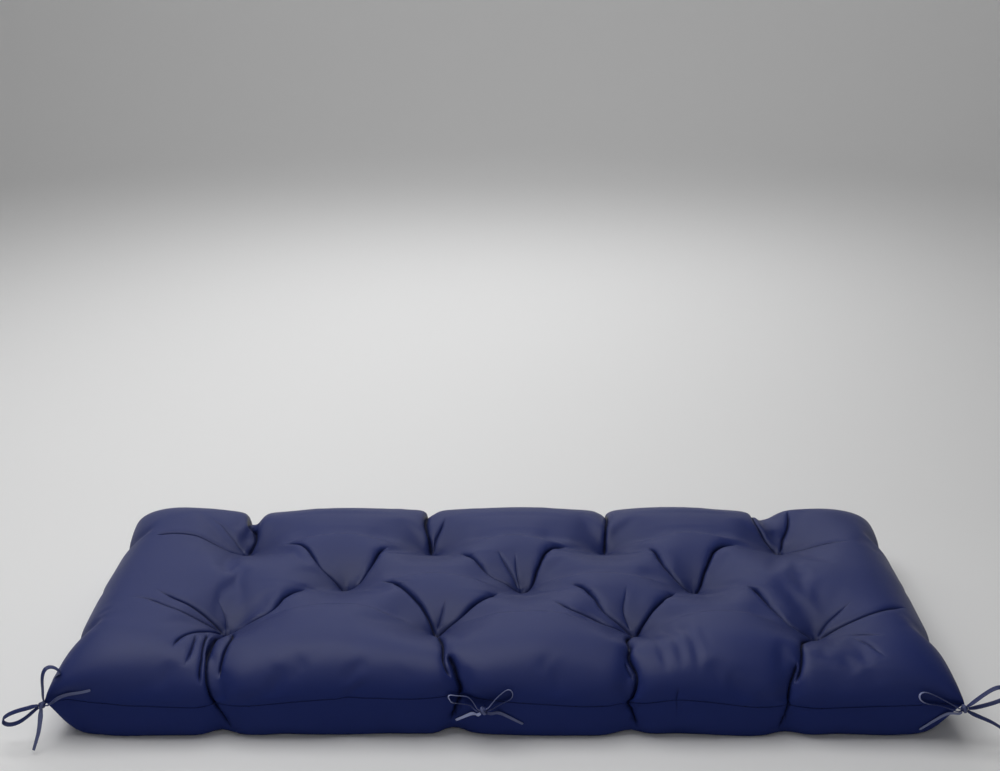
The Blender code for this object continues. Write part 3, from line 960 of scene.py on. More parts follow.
@dataclass
class Pressing:
    """Presses the folds, the tufts' pits and the seam into the filled cushion, and marks them.

    The marks are numbers at the cushion's points, and its cloth reads them: most of them place painted
    shade in the tufts' hollows, in the folds and along the seam.
    """

    form: CushionForm
    crease_reach: float = 0.74
    crease_depth: float = 7.0
    crease_width: float = 6.0
    crease_lean: float = 2.0
    crease_start: float = 6.0
    crease_fade: float = 22.0
    line_round: float = 0.4
    dimple_depth: float = 0.016
    dimple_width: float = 0.010
    dimple_lean: float = 0.008
    first_reach: float = 0.0095
    next_reach: float = 0.005
    seam_reach: float = 0.0045
    seam_depth: float = 0.0015
    seam_width: float = 0.004
    matt_height: float = 0.06
    shade_depth: float = 0.004
    # how far round a tuft the painted shade in the tufts' hollows reaches
    hollow_width: float = 0.052
    line_reach: float = 0.004
    full_line_depth: float = 6.0
    reach_in_widths: float = 3.5
    gap_below: float = 0.05
    panel_level: float = 0.1
    seam_level: float = 0.01
    # how clear the painted dark line and the bump groove along each kind of fold are
    line_clearness: dict[Press, float] = field(
        default_factory=lambda: {Press.CREASED: 1.0, Press.SOFT: 0.0, Press.CREST: 0.25}
    )

    def folds(self) -> list[Fold]:
        """Every fold: the sharp stretches of the creases between tufts, and the single ones."""
        found = list(FOLDS)
        for crease in self.form.slanted_creases():
            line = crease.line()
            points = line[line[:, 2] <= self.crease_reach][::2, :2] / MM
            size = (self.crease_depth, self.crease_width, (self.crease_start, self.crease_fade))
            found.append(Fold(tuple(map(tuple, points)), *size, self.crease_lean))
        return found

    def rim_gap(self, flat: np.ndarray) -> np.ndarray:
        """How far points of the flat pattern lie from the seam, in metres."""
        half = np.array(self.form.flat_half)
        return np.min(half - np.abs(flat[:, :2]), axis=1)

    @staticmethod
    def tuft_gap(flat: np.ndarray) -> np.ndarray:
        """How far points of the flat pattern lie from the nearest tuft, in metres."""
        return np.min([np.hypot(*(flat[:, :2] - tuft.value).T) for tuft in Tuft], axis=0)

    def refine(self, mesh: bpy.types.Mesh) -> None:
        """Gives the cushion smaller faces along its folds and its seam.

        Args:
            mesh: The cushion's mesh, with the attribute "flat_place".
        """
        bm = bmesh.new()
        bm.from_mesh(mesh)
        layer = bm.verts.layers.float_vector["flat_place"]
        for reach in (self.first_reach, self.next_reach):
            bm.verts.index_update()
            flat = np.array([vert[layer][:] for vert in bm.verts])
            near = np.zeros(len(flat), bool)
            for fold in self.folds():
                if fold.press is Press.CREASED:
                    index, away, _, _ = self.beside(fold, flat, reach)
                    near[index[away < reach]] = True
            near |= self.tuft_gap(flat) < self.dimple_width
            if reach == self.first_reach:
                near |= self.rim_gap(flat) < self.seam_reach
            edges = [edge for edge in bm.edges if all(near[vert.index] for vert in edge.verts)]
            bmesh.ops.subdivide_edges(bm, edges=edges, cuts=1, use_grid_fill=True)
            near_edges = {vert for edge in edges if edge.is_valid for vert in edge.verts}
            off_seam = [vert for vert in bm.verts if abs(vert[layer].z) > self.panel_level]
            touched = [vert for vert in off_seam if vert in near_edges]
            bmesh.ops.smooth_vert(
                bm, verts=touched, factor=0.5, use_axis_x=True, use_axis_y=True, use_axis_z=True
            )
        bm.to_mesh(mesh)
        bm.free()

    def beside(
        self, fold: Fold, flat: np.ndarray, reach: float
    ) -> tuple[np.ndarray, np.ndarray, np.ndarray, np.ndarray]:
        """Finds the points near a fold, on its own panel.

        Args:
            fold: The fold.
            flat: One row for each point: its place in the pattern, and above 0 on the top panel.
            reach: How far from the fold to look, in metres.

        Returns:
            The points' numbers, distances, ways along the fold in millimetres, and sides.
        """
        line = fold.line()
        low, high = line[:, :2].min(0) - reach, line[:, :2].max(0) + reach
        inside = np.all((flat[:, :2] >= low) & (flat[:, :2] <= high), axis=1)
        inside &= flat[:, 2] * fold.side.value > -self.seam_level
        index = np.flatnonzero(inside)
        away, way, side = nearest_on_line(flat[index, :2], line)
        return index, away, way, side

    def press(self, mesh: bpy.types.Mesh) -> None:
        """Moves the points along the folds and the seam.

        Args:
            mesh: The refined mesh.
        """
        flat = flat_places(mesh)
        normals = read_rows(mesh.vertices, "normal")
        sharp, soft, lean, line_share = (np.zeros(len(flat)) for _ in range(4))
        line_side = np.full(len(flat), self.line_reach)
        for fold in self.folds():
            index, away, way, side = self.beside(fold, flat, self.reach_in_widths * fold.width * MM)
            whole = fold.line()[-1, 2]
            full = ramp(way / fold.fade[0]) * ramp((whole - way) / fold.fade[1])
            deep = fold.depth * MM * full
            clear = self.line_clearness[fold.press] * fold.depth / self.full_line_depth
            share = min(clear, 1.0) * full * np.clip(1 - away / self.line_reach, 0.0, 1.0)
            clearer = share > line_share[index]
            line_share[index[clearer]] = share[clearer]
            line_side[index[clearer]] = (side * np.minimum(away, self.line_reach))[clearer]
            if fold.press is Press.SOFT:
                soft[index] += deep * np.exp(-((away / (fold.width * MM)) ** 2))
                continue
            if fold.press is Press.CREST:
                behind = np.maximum(side * away, 0.0) / (fold.width * MM)
                soft[index] += deep * behind * np.exp(1 - behind)
                continue
            away = np.hypot(away, self.line_round * MM) - self.line_round * MM
            inward = np.clip(1 - away / (fold.width * MM), 0.0, 1.0)
            deep = deep * (1 - np.sqrt(1 - inward**2))
            deeper = deep > sharp[index]
            sharp[index[deeper]] = deep[deeper]
            lean[index[deeper]] = (fold.lean * deep / (fold.depth * MM))[deeper]
        inward = np.clip(1 - self.tuft_gap(flat) / self.dimple_width, 0.0, 1.0)
        dimple = 1 - np.sqrt(1 - inward**2)
        sharp = np.maximum(sharp, self.dimple_depth * dimple)
        lean = np.maximum(lean, self.dimple_lean / MM * dimple)
        seam = self.seam_depth * np.exp(-self.rim_gap(flat) / self.seam_width)
        above = self.rim_gap(flat) * (flat[:, 2] > 0)
        # Marks for the cloth: painted shade in the folds and the tufts' hollows, painted dark lines and
        # bump grooves along the folds and the seam, and how matt it is.
        for name, values in (
            ("fold_shade", np.clip(sharp / self.shade_depth, 0.0, 1.0)),
            ("tuft_hollow_shade", (flat[:, 2] > 0) * np.exp(-((self.tuft_gap(flat) / self.hollow_width) ** 2))),
            ("fold_share", line_share),
            ("fold_side", line_side),
            ("seam_gap", np.where(flat[:, 2] < 0, self.gap_below, self.rim_gap(flat))),
            ("unworn", 1 - ramp(above / self.matt_height)),
        ):
            shade = mesh.attributes.new(name, "FLOAT", "POINT")
            shade.data.foreach_set("value", values.astype(np.float32))
        places = vertex_places(mesh) - normals * (sharp + soft + seam)[:, None]
        places[:, 1] -= lean * MM
        places[:, 2] = np.maximum(places[:, 2], 0.0)
        set_vertex_places(mesh, places)


@dataclass
class Cushion:
    """The filled cushion: two panels sewn together round their edge and tufted."""

    form: CushionForm
    cloth: WovenCloth
    pressing: Pressing
    spacing: float = 0.0085
    bottom_coarser: int = 2
    frames: int = 20
    pressure: float = 4.0
    slack: float = 0.015
    stiffness: float = 15.0
    bending: float = 0.5
    furthest: float = 0.011
    pin_reach: float = 0.005
    quality: int = 5
    mass: float = 0.3
    shear_part: float = 3.0
    floor_level: float = 1e-5
    bottom_shift: float = 3.0

    def flat_panels(self) -> bpy.types.Mesh:
        """Both panels as flat grids, sewn together at their rims, the bottom one of larger faces.

        Returns:
            The mesh, whose z is 1 on the top panel, -1 on the bottom one and 0 on the seam.
        """
        half = self.form.flat_half
        coarse = [2 * round(h / self.spacing / self.bottom_coarser) for h in half]
        bm = bmesh.new()
        for side, finer in ((Side.TOP, self.bottom_coarser), (Side.BOTTOM, 1)):
            steps = [count * finer for count in coarse]
            made = bmesh.ops.create_grid(bm, x_segments=steps[0], y_segments=steps[1], size=1.0)
            panel = made["verts"]
            if side is Side.BOTTOM:
                own = set(panel)
                bmesh.ops.reverse_faces(bm, faces=[face for face in bm.faces if face.verts[0] in own])
                rim = [edge for edge in bm.edges if edge.is_boundary and edge.verts[0] in own]
                for edge in rim:
                    for cut in range(self.bottom_coarser - 1, 0, -1):
                        _, new = bmesh.utils.edge_split(edge, edge.verts[0], cut / (cut + 1))
                        panel.append(new)
            for vert in panel:
                on_rim = any(edge.is_boundary for edge in vert.link_edges)
                vert.co.z = 0.0 if on_rim else side.value
        bmesh.ops.scale(bm, vec=(half[0], half[1], 1.0), verts=bm.verts)
        bmesh.ops.remove_doubles(bm, verts=bm.verts, dist=MERGE_GAP)
        seam = bm.edges.layers.float.new("crease_edge")
        for edge in bm.edges:
            edge[seam] = float(all(abs(vert.co.z) < 0.5 for vert in edge.verts))
        return mesh_from(bm, "cushion_visual")

    def inflate(self, piece: bpy.types.Object) -> None:
        """Fills the cushion with a cloth simulation and applies the result.

        Args:
            piece: The cushion in its first shape. Its tufts and its underside stay.
        """
        start = vertex_places(piece.data)
        pins = piece.vertex_groups.new(name="held")
        for index, (x, y, z) in enumerate(start):
            near_tuft = min(math.dist((x, y), tuft.value) for tuft in Tuft) < self.pin_reach
            if near_tuft or z < self.floor_level:
                pins.add([index], 1.0, "REPLACE")
        cloth = piece.modifiers.new("filling", "CLOTH")
        settings = cloth.settings
        settings.quality = self.quality
        settings.mass = self.mass
        settings.tension_stiffness = self.stiffness
        settings.compression_stiffness = self.stiffness
        settings.shear_stiffness = self.stiffness / self.shear_part
        settings.bending_stiffness = self.bending
        settings.use_pressure = True
        settings.uniform_pressure_force = self.pressure
        settings.vertex_group_mass = "held"
        settings.shrink_min = -self.slack
        settings.effector_weights.gravity = 0.0
        cloth.collision_settings.use_collision = False
        cloth.collision_settings.use_self_collision = False
        scene = bpy.context.scene
        cloth.point_cache.frame_start, cloth.point_cache.frame_end = 1, self.frames
        scene.frame_start, scene.frame_end = 1, self.frames
        for number in range(1, self.frames + 1):
            scene.frame_set(number)
        filled = baked_mesh(piece)
        move = vertex_places(filled) - start
        bpy.data.meshes.remove(filled)
        piece.modifiers.remove(cloth)
        scene.frame_set(1)
        far = np.linalg.norm(move, axis=1, keepdims=True)
        move *= np.minimum(1.0, self.furthest / np.maximum(far, NO_LENGTH))
        places = start + move
        places[:, 2] = np.maximum(places[:, 2], 0.0)
        set_vertex_places(piece.data, places)

    def build(self) -> bpy.types.Object:
        """Makes the cushion.

        Returns:
            The finished piece.
        """
        mesh = self.flat_panels()
        flat = vertex_places(mesh)
        set_vertex_places(mesh, self.form.place(flat[:, :2], np.sign(flat[:, 2])))
        pattern = mesh.attributes.new("flat_place", "FLOAT_VECTOR", "POINT")
        pattern.data.foreach_set("vector", flat.astype(np.float32).ravel())
        piece = add_object("cushion_visual", mesh, self.cloth.material())
        log.info("cushion: %d points before filling", len(mesh.vertices))
        self.inflate(piece)
        smooth = add_rounding(piece)
        fine = baked_mesh(piece)
        piece.modifiers.remove(smooth)
        piece.data = fine
        bpy.data.meshes.remove(mesh)
        fine.name = "cushion_visual"
        self.pressing.refine(fine)
        self.pressing.press(fine)
        self.lay_pattern(fine)
        fine.shade_smooth()
        return piece

    def lay_pattern(self, mesh: bpy.types.Mesh) -> None:
        """Gives the cushion a UV map: its flat pattern in metres, the bottom panel beside the top.

        Args:
            mesh: The cushion's mesh, with the attribute "flat_place".
        """
        flat = flat_places(mesh)
        corners = read_numbers(mesh.loops, "vertex_index")
        sizes = read_numbers(mesh.polygons, "loop_total")
        face_of_corner = np.repeat(np.arange(len(sizes)), sizes)
        up = np.bincount(face_of_corner, weights=flat[corners, 2])[face_of_corner]
        uv = flat[corners, :2].copy()
        uv[up < 0, 0] += self.bottom_shift * self.form.flat_half[0]
        layer = mesh.uv_layers.new(name=PATTERN)
        layer.data.foreach_set("uv", uv.ravel())


# ---- The ties ----


@dataclass(frozen=True)
class Strand:
    """One visible stretch of a tie's tape, by points in millimetres from its knot.

    A loop goes out from the knot and comes back to it, and a tail ends free.
    """

    name: str
    points: tuple
    is_loop: bool = False
    lay: Lay = Lay.FREE
    across: tuple[float, float, float] = (0.0, -0.85, 0.53)
    twist: float = 0.0
    # painted highlight where the tape would face the light: going out, at the tip and coming back
    painted_highlight: float = 0.0
    painted_highlight_at_tip: float = 0.0
    painted_highlight_back: float | None = None
    widen: float = 1.0


@dataclass(frozen=True)
class Bow:
    """Two tapes that are caught in the seam and tied in a bow."""

    name: str
    knot: tuple[float, float, float]
    strands: tuple[Strand, ...]
    tilt: float = 0.0


LEFT_BOW = Bow(
    "left_tie",
    (-0.5990, -0.2555, 0.0610),
    (
        Strand("loop_up",
               ((2, 1, 11), (3, 2, 23), (3, 4, 36), (5, 7, 46), (9, 11, 50), (14, 16, 48), (18, 21, 42),
                (21, 27, 32), (23, 32, 20), (19, 32, 8), (10, 22, 0), (3, 11, -1)),
               is_loop=True, across=(0.6, -0.8, 0.0), twist=25.0, painted_highlight=0.01, painted_highlight_at_tip=0.08),
        Strand("loop_out",
               ((-7, -4, 2), (-17, -5, -1), (-31, -5, -5), (-46, -5, -12), (-53, -5, -20), (-47, -5, -27),
                (-33, -5, -24), (-20, -5, -15), (-9, -4, -5)),
               is_loop=True, across=(0.0, 0.75, 0.66), painted_highlight=0.01, painted_highlight_at_tip=0.06),
        Strand("tail_down",
               ((-1, -5, -9), (-2, -8, -18), (-4, -12, -32), (-8, -17, -45), (-11, -21, -55)),
               across=(1.0, 0.0, 0.0), twist=10.0, painted_highlight=0.22, painted_highlight_at_tip=0.15, widen=1.25),
        Strand("tail_over", ((9, -4, 2), (20, 0, 5), (33, 4, 9), (48, 7, 13), (62, 7, 17)),
               lay=Lay.FLAT, painted_highlight=0.02, painted_highlight_at_tip=0.30),
    ),
    tilt=-30.0,
)
MIDDLE_BOW = Bow(
    "middle_tie",
    (-0.0260, -0.2560, 0.0530),
    (
        Strand("loop_left",
               ((-9, -2, 3), (-22, -1, 6), (-31, 0, 10), (-38, 0, 15), (-43, 0, 12), (-41, 0, 6),
                (-32, 0, 3), (-22, -1, 1), (-9, -2, 0)),
               is_loop=True, lay=Lay.ON_EDGE, painted_highlight=0.10, painted_highlight_at_tip=1.0, painted_highlight_back=0.02),
        Strand("loop_right",
               ((7, -2, 6), (16, 0, 15), (25, 2, 24), (32, 2, 29), (37, 1, 27), (38, 0, 20), (34, 0, 13),
                (24, 0, 7), (10, -2, 2)),
               is_loop=True, lay=Lay.ON_EDGE, painted_highlight=0.18, painted_highlight_at_tip=0.4, painted_highlight_back=0.0),
        Strand("tail_left", ((-8, -3, -5), (-18, 0, -12), (-28, 4, -20), (-38, 9, -29)),
               lay=Lay.FLAT, painted_highlight=0.9, painted_highlight_at_tip=0.8),
        Strand("tail_right", ((9, -3, -3), (20, 0, -8), (35, 3, -16), (52, 8, -26)),
               lay=Lay.FLAT, painted_highlight=0.06, painted_highlight_at_tip=0.25),
    ),
    tilt=35.0,
)
RIGHT_BOW = Bow(
    "right_tie",
    (0.5980, -0.2565, 0.0565),
    (
        Strand("loop_over",
               ((-7, -4, 2), (-17, 0, 5), (-32, 3, 14), (-45, 4, 20), (-54, 4, 22), (-59, 4, 17),
                (-56, 2, 9), (-43, 0, 3), (-22, -2, 0), (-9, -5, -2)),
               is_loop=True, lay=Lay.ON_EDGE, painted_highlight=0.06, painted_highlight_at_tip=0.8, painted_highlight_back=0.0),
        Strand("loop_out",
               ((7, -2, 8), (16, -2, 17), (27, -2, 27), (38, -2, 34), (48, -2, 33), (54, -2, 26),
                (50, -2, 17), (38, -2, 11), (24, -2, 6), (9, -2, 2)),
               is_loop=True, across=(0.0, 0.85, 0.5), painted_highlight=0.01, painted_highlight_at_tip=0.06),
        Strand("tail_in", ((-8, -5, -6), (-21, 1, -15), (-37, 8, -26), (-52, 18, -38)),
               lay=Lay.FLAT, painted_highlight=0.30, painted_highlight_at_tip=0.35, widen=1.1),
        Strand("tail_out", ((9, -3, -5), (22, -4, -11), (38, -5, -18), (55, -7, -30), (66, -9, -42)),
               across=(0.0, 0.6, 0.8), twist=-10.0, painted_highlight=0.02, painted_highlight_at_tip=0.06),
    ),
    tilt=20.0,
)


@dataclass
class Tapes:
    """The bows on the front seam, laid on the finished cushion."""

    cloth: BVHTree
    finish: SewnTape
    width: float = 0.006
    thickness: float = 0.0011
    bunched: float = 0.55
    bunch_length: float = 0.009
    tail_taper: float = 0.5
    knot_radii: tuple[float, float, float] = (0.0055, 0.0045, 0.0050)
    knot_gap: float = 0.0004
    cloth_gap: float = 0.0008
    near_knot: float = 0.014
    route_steps: int = 5
    smooth_rounds: int = 8
    cells_across: int = 4
    cup: float = 0.0004
    wrap_width: float = 0.0042
    wrap_thickness: float = 0.0012
    # painted highlight on the turn of tape round the knot
    wrap_painted_highlight: float = 0.12
    stem_width: float = 0.0045
    floor_gap: float = 0.0012
    patch: float = 0.003
    tip_share: float = 0.08
    gather_height: float = 4.0
    gather_turns: float = 6.0
    knot_cells: tuple[int, int] = (28, 16)
    knot_core: float = 0.90
    knot_gathers: int = 5
    knot_gather_depth: float = 0.07
    wrap_radius: float = 0.97
    wrap_section: tuple = (
        (-1, 0), (-0.7, 0.5), (0, 0.62), (0.7, 0.5), (1, 0), (0.7, -0.5), (-0.7, -0.5)
    )
    wrap_steps: int = 28
    stem_start: float = 0.8
    stem_spread: float = 0.4

    def build(self, bow: Bow) -> list[bpy.types.Object]:
        """Makes a bow, attaches its pieces to the body and hides the imported parts of the same names.

        Args:
            bow: The bow.

        Returns:
            Its knot and its strands.
        """
        material = self.finish.material()
        knot = self.make_knot(bow, material)
        pieces = [knot]
        for strand in bow.strands:
            piece, route = self.make_strand(bow, strand, material)
            pieces.append(piece)
        for piece in pieces:
            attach(piece, BODY)
            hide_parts(piece.name.removesuffix("_visual"))
        return pieces

    def off_knot(self, knot: np.ndarray, towards: np.ndarray) -> np.ndarray:
        """The point just off a knot's surface, on the way to another point."""
        way = (towards - knot) / np.linalg.norm(towards - knot)
        to_surface = 1 / math.sqrt(sum((w / r) ** 2 for w, r in zip(way, self.knot_radii)))
        return knot + way * (to_surface - self.knot_gap)

    def nearest_cloth(self, point: Vector) -> tuple[Vector, float, Vector]:
        """The cloth's nearest place, its distance, and its outward direction over a small patch."""
        place, normal, _, away = self.cloth.find_nearest(point)
        patch = self.cloth.find_nearest_range(place, self.patch)
        normal = sum((found[1] for found in patch), normal.copy()).normalized()
        return place, away, normal

    def smoothed(self, rows: np.ndarray) -> np.ndarray:
        """Rows along a route, each averaged with its neighbours; the first and the last stay."""
        for _ in range(self.smooth_rounds):
            rows = np.concatenate([rows[:1], (rows[:-2] + 2 * rows[1:-1] + rows[2:]) / 4, rows[-1:]])
        return rows

    def route(self, bow: Bow, strand: Strand) -> tuple[np.ndarray, np.ndarray]:
        """Lays a strand on the cushion.

        Args:
            bow: Its bow.
            strand: The strand.

        Returns:
            The middle line of its tape and the cloth's outward direction along it.
        """
        knot = np.array(bow.knot)
        points = [knot + np.array(offset) * MM for offset in strand.points]
        ends = [self.off_knot(knot, points[-1])] if strand.is_loop else []
        line = curve_through(np.array([self.off_knot(knot, points[0]), *points, *ends]), self.route_steps)
        on_edge = strand.lay is Lay.ON_EDGE
        reach = self.cloth_gap + (self.width if on_edge else self.thickness) / 2
        laid, outward = [], []
        for point in line:
            place, away, normal = self.nearest_cloth(Vector(point))
            inside = (Vector(point) - place).dot(normal) < 0
            settled = strand.lay is not Lay.FREE and np.linalg.norm(point - knot) > self.near_knot
            laid.append(np.array(place + normal * reach) if inside or away < reach or settled else point)
            outward.append(np.array(normal))
        return self.smoothed(np.array(laid)), self.smoothed(np.array(outward))

    @staticmethod
    def directions(
        strand: Strand, line: np.ndarray, outward: np.ndarray, share: np.ndarray
    ) -> tuple[np.ndarray, np.ndarray]:
        """Finds how a strand's tape is turned along its middle line.

        Args:
            strand: The strand.
            line: Its middle line.
            outward: The cloth's outward direction along it.
            share: The share of the way at each of its points.

        Returns:
            The directions across the tape and off its face, one row for each point.
        """
        ahead = np.gradient(line, axis=0)
        ahead /= np.linalg.norm(ahead, axis=1, keepdims=True)
        if strand.lay is Lay.FLAT:
            across = np.cross(outward, ahead)
        else:
            across = np.tile(np.array(strand.across), (len(line), 1))
        across = across - np.sum(across * ahead, axis=1, keepdims=True) * ahead
        across /= np.linalg.norm(across, axis=1, keepdims=True)
        turn = np.radians(strand.twist) * (np.sin(math.pi * share) if strand.is_loop else share)
        up = np.cross(ahead, across)
        across = across * np.cos(turn)[:, None] + up * np.sin(turn)[:, None]
        return across, np.cross(ahead, across)

    def spread(self, strand: Strand, ways: np.ndarray, share: np.ndarray) -> np.ndarray:
        """The share of its width that a tape shows: less at its knot, and at a free end."""
        from_knot = np.minimum(ways, ways[-1] - ways) if strand.is_loop else ways
        spread = self.bunched + (1 - self.bunched) * np.minimum(from_knot / self.bunch_length, 1.0)
        spread *= strand.widen
        if not strand.is_loop:
            spread *= 1 - self.tail_taper * share
        return spread

    def painted_highlight_along(self, strand: Strand, share: np.ndarray) -> np.ndarray:
        """How much painted highlight a tape gets: going out, at a loop's far point or a tail's end, and
        coming back.
        """
        tip = np.exp(-(((share - 0.5) / self.tip_share) ** 2)) if strand.is_loop else share
        back = strand.painted_highlight if strand.painted_highlight_back is None else strand.painted_highlight_back
        painted_highlight = np.where(share > 0.5, back, strand.painted_highlight)
        return self.smoothed(painted_highlight + (strand.painted_highlight_at_tip - painted_highlight) * tip)

    def make_strand(
        self, bow: Bow, strand: Strand, material: bpy.types.Material
    ) -> tuple[bpy.types.Object, np.ndarray]:
        """Makes one strand as a strip of tape, given its thickness and rounded by modifiers.

        Args:
            bow: Its bow.
            strand: The strand.
            material: Its finish.

        Returns:
            The piece and its middle line.
        """
        line, outward = self.route(bow, strand)
        ways = ways_along(line)
        share = ways / ways[-1]
        across, up = self.directions(strand, line, outward, share)
        spread = self.spread(strand, ways, share)
        painted_highlight_along = self.painted_highlight_along(strand, share)
        sections = len(line) - 1
        bm = bmesh.new()
        uv = bm.loops.layers.uv.new(PATTERN)
        painted_highlight = bm.verts.layers.float.new("painted_highlight")
        strip = bmesh.ops.create_grid(bm, x_segments=sections, y_segments=self.cells_across, size=1.0)
        flat = {}
        for vert in strip["verts"]:
            index, over = round((vert.co.x + 1) / 2 * sections), vert.co.y
            flat[vert] = (ways[index], over * self.width / 2)
            gather = (1 - spread[index]) * self.gather_height * math.cos(self.gather_turns * over)
            lift = self.cup * (over**2 - 0.5 + gather)
            vert.co = line[index] + across[index] * (over * spread[index] * self.width / 2)
            vert.co += Vector(up[index] * lift)
            vert.co.z = max(vert.co.z, self.floor_gap)
            vert[painted_highlight] = painted_highlight_along[index]
        for face in bm.faces:
            for loop in face.loops:
                loop[uv].uv = flat[loop.vert]
        mesh = mesh_from(bm, f"{bow.name}_{strand.name}_visual")
        mesh.shade_smooth()
        piece = add_object(mesh.name, mesh, material)
        body = piece.modifiers.new("thickness", "SOLIDIFY")
        body.thickness = self.thickness
        body.offset = 0.0
        add_rounding(piece)
        return piece, line

    def make_knot(self, bow: Bow, material: bpy.types.Material) -> bpy.types.Object:
        """Makes a knot: gathered tape inside, one turn of tape round it, and a stem to the seam.

        Args:
            bow: The bow.
            material: Its finish.

        Returns:
            The piece.
        """
        bm = bmesh.new()
        painted_highlight = bm.verts.layers.float.new("painted_highlight")
        round_cells, high_cells = self.knot_cells
        core = bmesh.ops.create_uvsphere(bm, u_segments=round_cells, v_segments=high_cells, radius=1.0)
        made = core["verts"]
        for vert in made:
            around = math.atan2(vert.co.z, vert.co.y)
            gather = self.knot_gather_depth * math.cos(self.knot_gathers * around)
            vert.co *= self.knot_core + gather * (1 - abs(vert.co.x))
        bmesh.ops.scale(bm, vec=self.knot_radii, verts=made)
        turns = Vector((math.cos(math.radians(bow.tilt)), 0.0, math.sin(math.radians(bow.tilt))))
        self.add_wrap(bm, turns)
        for vert in bm.verts:
            vert[painted_highlight] = 0.0 if vert in made else self.wrap_painted_highlight
        bmesh.ops.translate(bm, vec=bow.knot, verts=bm.verts)
        self.add_stem(bm, Vector(bow.knot))
        bmesh.ops.recalc_face_normals(bm, faces=bm.faces)
        mesh = mesh_from(bm, f"{bow.name}_knot_visual")
        mesh.shade_smooth()
        mesh.uv_layers.new(name=PATTERN)
        piece = add_object(mesh.name, mesh, material)
        add_rounding(piece)
        return piece

    def add_wrap(self, bm: bmesh.types.BMesh, axis: Vector) -> None:
        """Spins a tape's section once round the middle of a knot.

        Args:
            bm: The knot, at the origin.
            axis: The line that the tape goes round.
        """
        radius = max(self.knot_radii) * self.wrap_radius
        half, thick = self.wrap_width / 2, self.wrap_thickness
        beside = axis.cross(Vector((0.0, 1.0, 0.0))).normalized()
        section = [
            axis * (half * x) + beside * (radius + thick * z)
            for x, z in self.wrap_section
        ]
        ring = [bm.verts.new(place) for place in section]
        edges = [bm.edges.new((a, b)) for a, b in zip(ring, ring[1:] + ring[:1])]
        spin_round(bm, ring + edges, axis, self.wrap_steps)

    def add_stem(self, bm: bmesh.types.BMesh, knot: Vector) -> None:
        """Joins a knot to the seam with a short doubled tape.

        Args:
            bm: The knot in its place.
            knot: Its centre.
        """
        place, _, normal = self.nearest_cloth(knot)
        start, end = knot, place - normal * self.thickness
        way = (end - start).normalized()
        beside = Vector((1.0, 0.0, 0.0))
        beside = (beside - beside.dot(way) * way).normalized()
        over = way.cross(beside)
        made = bmesh.ops.create_cube(bm, size=1.0)["verts"]
        for vert in made:
            at = start.lerp(end, vert.co.z + 0.5)
            wide = self.stem_width * (self.stem_start + self.stem_spread * (vert.co.z + 0.5))
            vert.co = at + beside * (vert.co.x * wide) + over * (vert.co.y * 2 * self.thickness)


# ---- The studio ----


@dataclass(frozen=True)
class Softbox:
    """A square soft light aimed at the cushion."""

    name: str
    place: tuple[float, float, float]
    size: float
    power: float
    aim: tuple[float, float, float] = (0.0, 0.0, 0.05)

    def build(self) -> None:
        """Adds the light."""
        light = bpy.data.lights.new(self.name, "AREA")
        light.energy = self.power
        light.size = self.size
        holder = bpy.data.objects.new(self.name, light)
        bpy.context.scene.collection.objects.link(holder)
        holder.location = self.place
        aim = Vector(self.aim) - Vector(self.place)
        holder.rotation_euler = aim.to_track_quat("-Z", "Y").to_euler()


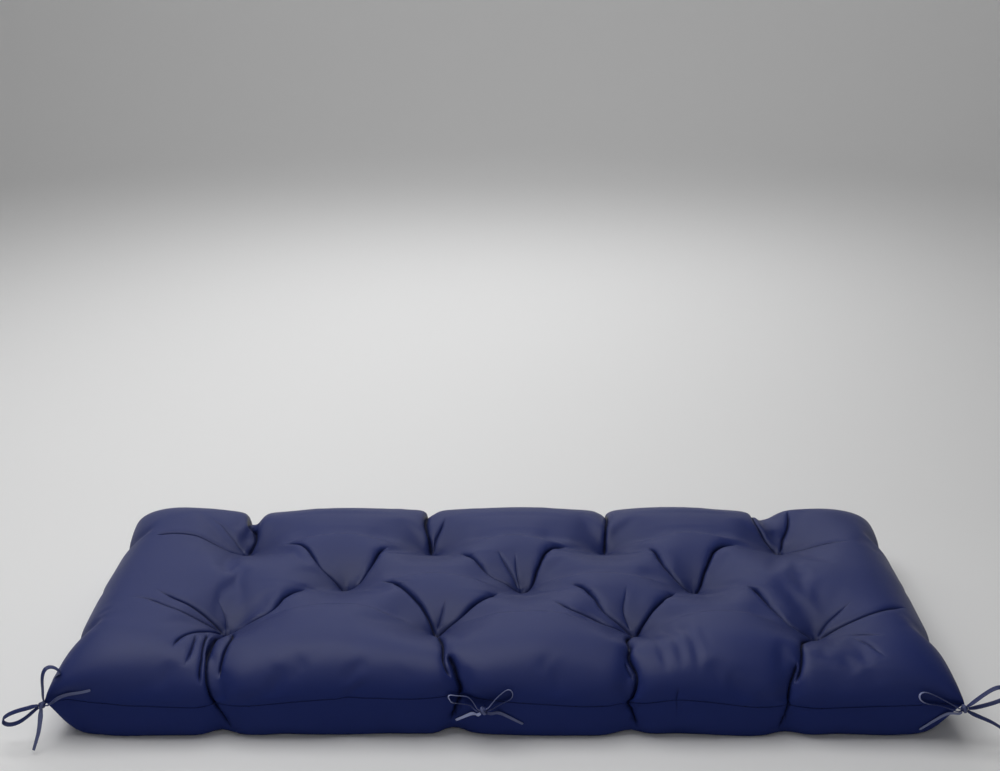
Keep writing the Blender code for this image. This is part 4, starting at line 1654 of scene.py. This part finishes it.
@dataclass
class Studio:
    """Floor, lights and camera."""

    floor: PalePaper
    floor_radius: float = 3.2
    cove_radius: float = 1.5
    wall_height: float = 3.0
    cove_points: int = 13
    floor_cells: int = 64
    lights: tuple[Softbox, ...] = (
        Softbox("top_light", (-0.35, 0.0, 2.2), 1.8, 26.0),
        Softbox("top_left_light", (-1.2, 0.3, 2.0), 1.4, 6.2),
        Softbox("back_light", (0.0, 1.7, 1.4), 1.6, 7.4),
        Softbox("back_left_light", (-1.3, 1.3, 1.5), 1.4, 3.2),
        Softbox("front_light", (0.0, -2.4, 1.9), 1.6, 7.4),
        Softbox("wall_light", (0.0, 1.8, 2.4), 1.6, 22.0, aim=(0.0, 4.6, 0.8)),
    )
    sky: float = 0.03
    camera_place: tuple[float, float, float] = (-0.0046, -1.866, 1.152)
    camera_pitch: float = 21.8
    sensor_width: float = 36.0
    frame_pixels: float = 1000.0
    focal_pixels: float = 1465.0

    def build(self) -> None:
        """Adds all three."""
        self.add_floor()
        for light in self.lights:
            light.build()
        self.add_sky()
        self.add_camera()

    def add_floor(self) -> None:
        """A large plain floor under the cushion, that curves up into a round wall."""
        angles = np.linspace(0.0, math.pi / 2, self.cove_points)
        cove = [
            (self.floor_radius + self.cove_radius * math.sin(a), self.cove_radius * (1 - math.cos(a)))
            for a in angles
        ]
        profile = [(0.0, 0.0), (self.floor_radius / 2, 0.0), *cove, (cove[-1][0], self.wall_height)]
        bm = bmesh.new()
        verts = [bm.verts.new((radius, 0.0, height)) for radius, height in profile]
        edges = [bm.edges.new(pair) for pair in zip(verts, verts[1:])]
        spin_round(bm, verts + edges, (0, 0, 1), self.floor_cells)
        bmesh.ops.remove_doubles(bm, verts=bm.verts, dist=MERGE_GAP)
        bmesh.ops.recalc_face_normals(bm, faces=bm.faces)
        bmesh.ops.reverse_faces(bm, faces=bm.faces)
        mesh = mesh_from(bm, "floor")
        mesh.shade_smooth()
        add_object("floor", mesh, self.floor.material())

    def add_sky(self) -> None:
        """An even white surround."""
        world = bpy.data.worlds.new("surround")
        bpy.context.scene.world = world
        world.use_nodes = True
        background = world.node_tree.nodes["Background"]
        background.inputs["Color"].default_value = WHITE
        background.inputs["Strength"].default_value = self.sky

    def add_camera(self) -> None:
        """The camera of the photograph: in front, looking down at its own fixed pitch."""
        camera = bpy.data.cameras.new("camera")
        camera.sensor_width = self.sensor_width
        camera.lens = camera.sensor_width * self.focal_pixels / self.frame_pixels
        holder = bpy.data.objects.new("camera", camera)
        bpy.context.scene.collection.objects.link(holder)
        holder.location = self.camera_place
        holder.rotation_euler = (math.radians(90 - self.camera_pitch), 0.0, 0.0)
        bpy.context.scene.camera = holder
        bpy.context.scene.view_settings.view_transform = "Standard"


def main() -> None:
    """Builds the cushion, its ties and the studio."""
    logging.basicConfig(level=logging.INFO, format="%(message)s")
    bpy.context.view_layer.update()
    Studio(PalePaper()).build()
    low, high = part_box("cushion")
    form = CushionForm(length=high.x - low.x, depth=high.y - low.y)
    cushion = Cushion(form, WovenCloth("panel_cloth"), Pressing(form)).build()
    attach(cushion, BODY)
    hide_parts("cushion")
    log.info("%s: %d faces", cushion.name, len(cushion.data.polygons))
    surface = BVHTree.FromObject(cushion, bpy.context.evaluated_depsgraph_get())
    tapes = Tapes(surface, SewnTape("tie_tape"))
    for bow in (LEFT_BOW, MIDDLE_BOW, RIGHT_BOW):
        log.info("%s: %d pieces", bow.name, len(tapes.build(bow)))


if __name__ == "__main__":
    main()
